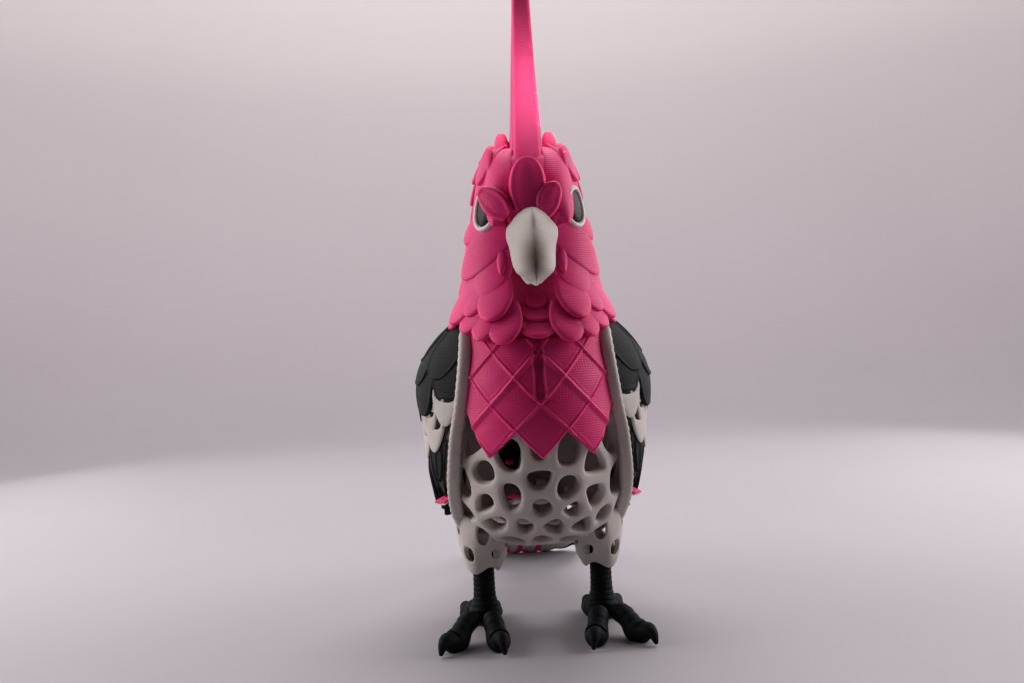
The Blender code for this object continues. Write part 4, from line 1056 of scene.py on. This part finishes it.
u, v = grid((-1, 1, 241), (0, 1, 110))
place = np.abs(u) * 6
step = place % 1
relief = 0.16 * (1 - step) + 0.12 * ridge(step, 0.5, 0.07)
relief += 0.03 * np.sin((place * 5 + v * 14) * 2 * math.pi)
top = tail_skin(u, v, 0.30 + relief * np.clip(v * 4, 0.2, 1))
low = tail_skin(u, v, -0.5 + 0.05 * relief)
top[..., 2], low[..., 2] = np.maximum(top[..., 2], 1.2), np.maximum(low[..., 2], 0.0)
make_piece("tail_feathers", sheets(top, low), dark_grey, ["tail"])

# Under the fan: the pad of light coverts, and a pink scrap stuck to the feathers behind it.
u, v = grid((-0.9, 0.9, 90), (0.02, 0.97, 80))
top = tail_skin(u, v * (1 - 0.10 * u**2), -0.5)
top[..., 2] -= 0.9
low = top.copy()
lobes = 0.6 * np.abs(np.sin(np.pi * (u * 3 + 0.5))) * np.abs(np.sin(np.pi * v * 5))
low[..., 2] -= 0.6 + 5.5 * np.cos(u * 1.4) * np.clip(1 - 1.15 * v, 0, 1) + lobes
low[..., 2] = np.maximum(low[..., 2], 0.4)
low[..., 1] -= 2.5 * (1 - v)
make_piece("undertail_pad", sheets(top, low), light_grey, ["undertail_coverts"])
u, v = grid((-0.62, 0.30, 60), (0.70, 0.955, 24))
top = tail_skin(u, v, -0.5)
low = top - [0, 0, 1.0] * (1.7 + 0.5 * np.abs(np.sin(np.pi * (u * 5 + v * 3))))[..., None]
top[..., 2] -= 0.6
low[..., 2] = np.maximum(low[..., 2], 0.1)
make_piece("undertail_blush", sheets(top, low), silky_pink)

# ---- Stand, light and camera ----
# The figurine stands on a pale studio floor.  Large soft lamps wash it from behind, the top
# and both sides, and little comes from in front, so edges are bright and hollows deep.
PAPER_REACH, COVE_RADIUS, WALL_TOP = 0.75, 0.6, 2.6  # metres
ROUND = 72

# Uncoated studio paper, dark felt where it comes round in front: both fully matt and grainy.
floor_finish = bpy.data.materials.new("matte_studio_paper")
tree, shader, place = opened(floor_finish)
up = add(tree, "SeparateXYZ", {0: place}, out="Z")
back = add(tree, "SeparateXYZ", {0: place}, out="Y")
haze = add(tree, "TexNoise", {"Vector": place, "Scale": 6.0, "Detail": 2.0})
climb = add(tree, "MapRange", {"Value": up, "From Max": 0.7})
behind = add(tree, "MapRange", {"Value": back, "From Min": -0.45, "From Max": -0.15},
             interpolation_type="SMOOTHSTEP")
paper = add(tree, "Mix", {0: haze, 6: srgb("#9C979E"), 7: srgb("#A19CA2")}, 2, data_type="RGBA")
pale = add(tree, "Mix", {0: climb, 6: paper, 7: srgb("#D5CDCF")}, 2, data_type="RGBA")
tone = add(tree, "Mix", {0: behind, 6: srgb("#454346"), 7: pale}, 2, data_type="RGBA")
feed(shader, {"Base Color": tone, "Roughness": 0.7})

cove = np.radians(np.linspace(0, 90, 13))
profile = np.concatenate([[[0.02, 0.0], [0.4, 0.0]], np.stack([
    PAPER_REACH + COVE_RADIUS * np.sin(cove), COVE_RADIUS - COVE_RADIUS * np.cos(cove)], -1),
    [[PAPER_REACH + COVE_RADIUS, WALL_TOP]]])
turn = circle(ROUND)
corners = xyz(profile[:, :1] * np.cos(turn), profile[:, :1] * np.sin(turn),
              profile[:, 1:]).reshape(-1, 3)
g = np.arange(len(corners)).reshape(len(profile), ROUND)
n = np.roll(g, -1, 1)
backdrop = bpy.data.meshes.new("backdrop")
backdrop.from_pydata(corners.tolist(), [], [
    *np.stack([g[:-1], n[:-1], n[1:], g[1:]], -1).reshape(-1, 4)[:, ::-1].tolist(), g[0].tolist()])
backdrop.shade_smooth()
backdrop.materials.append(floor_finish)
linked("backdrop", backdrop)

BIRD, WARM = (0.0, -0.02, 0.16), (1.0, 0.98, 0.97)
LAMPS = [
    # name, place, aim, size, power, tint, and the spread of its beam in degrees
    ("left_lamp", (-0.70, 0.0, 0.34), BIRD, (0.45, 0.6), 4.0, WARM, 180),
    ("right_lamp", (0.72, 0.02, 0.36), BIRD, (0.45, 0.6), 4.1, (1.0, 0.97, 0.98), 180),
    ("left_rear_lamp", (-0.55, 0.45, 0.30), BIRD, (0.4, 0.5), 0.7, WARM, 180),
    ("right_rear_lamp", (0.55, 0.45, 0.32), BIRD, (0.4, 0.5), 0.9, WARM, 180),
    ("rear_top_lamp", (0.05, 0.30, 0.85), BIRD, (0.7, 0.5), 3.6, (1.0, 0.99, 0.98), 180),
    ("backdrop_lamp", (0.0, 0.35, 1.7), (0.0, 1.3, 1.0), (1.6, 0.4), 22.5, (1.0, 0.97, 0.97), 180),
    ("crest_spot", (0.05, -0.55, 0.27), (0.0, -0.07, 0.222), (0.03, 0.03), 0.0055,
     (1.0, 0.99, 1.0), 7),
]
for name, place, aim, size, power, tint, spread in LAMPS:
    light = bpy.data.lights.new(name, "AREA")
    light.shape, light.size, light.size_y = "RECTANGLE", *size
    light.energy, light.color, light.spread = power, tint, math.radians(spread)
    made = linked(name, light)
    made.location = place
    made.rotation_euler = (Vector(aim) - Vector(place)).to_track_quat("-Z", "Y").to_euler()

# Hardly any light comes from the air itself.
world = bpy.data.worlds.new("studio_air")
world.use_nodes = True
world.node_tree.nodes["Background"].inputs[0].default_value = (0.86, 0.82, 0.86, 1.0)
world.node_tree.nodes["Background"].inputs[1].default_value = 0.01
bpy.context.scene.world = world
bpy.context.scene.view_settings.view_transform = "Standard"

camera = bpy.data.cameras.new("camera")
camera.lens, camera.sensor_width, camera.clip_start = 30.6, 36.0, 0.02
watcher = linked("camera", camera)
watcher.matrix_world = (
    Matrix.Translation((-0.0182, -0.4135, 0.124))
    @ Matrix.Rotation(math.radians(-1.5), 4, "Z") @ Matrix.Rotation(math.radians(90), 4, "X")
    @ Matrix.Rotation(math.radians(-2.6), 4, "Z"))
bpy.context.scene.camera = watcher
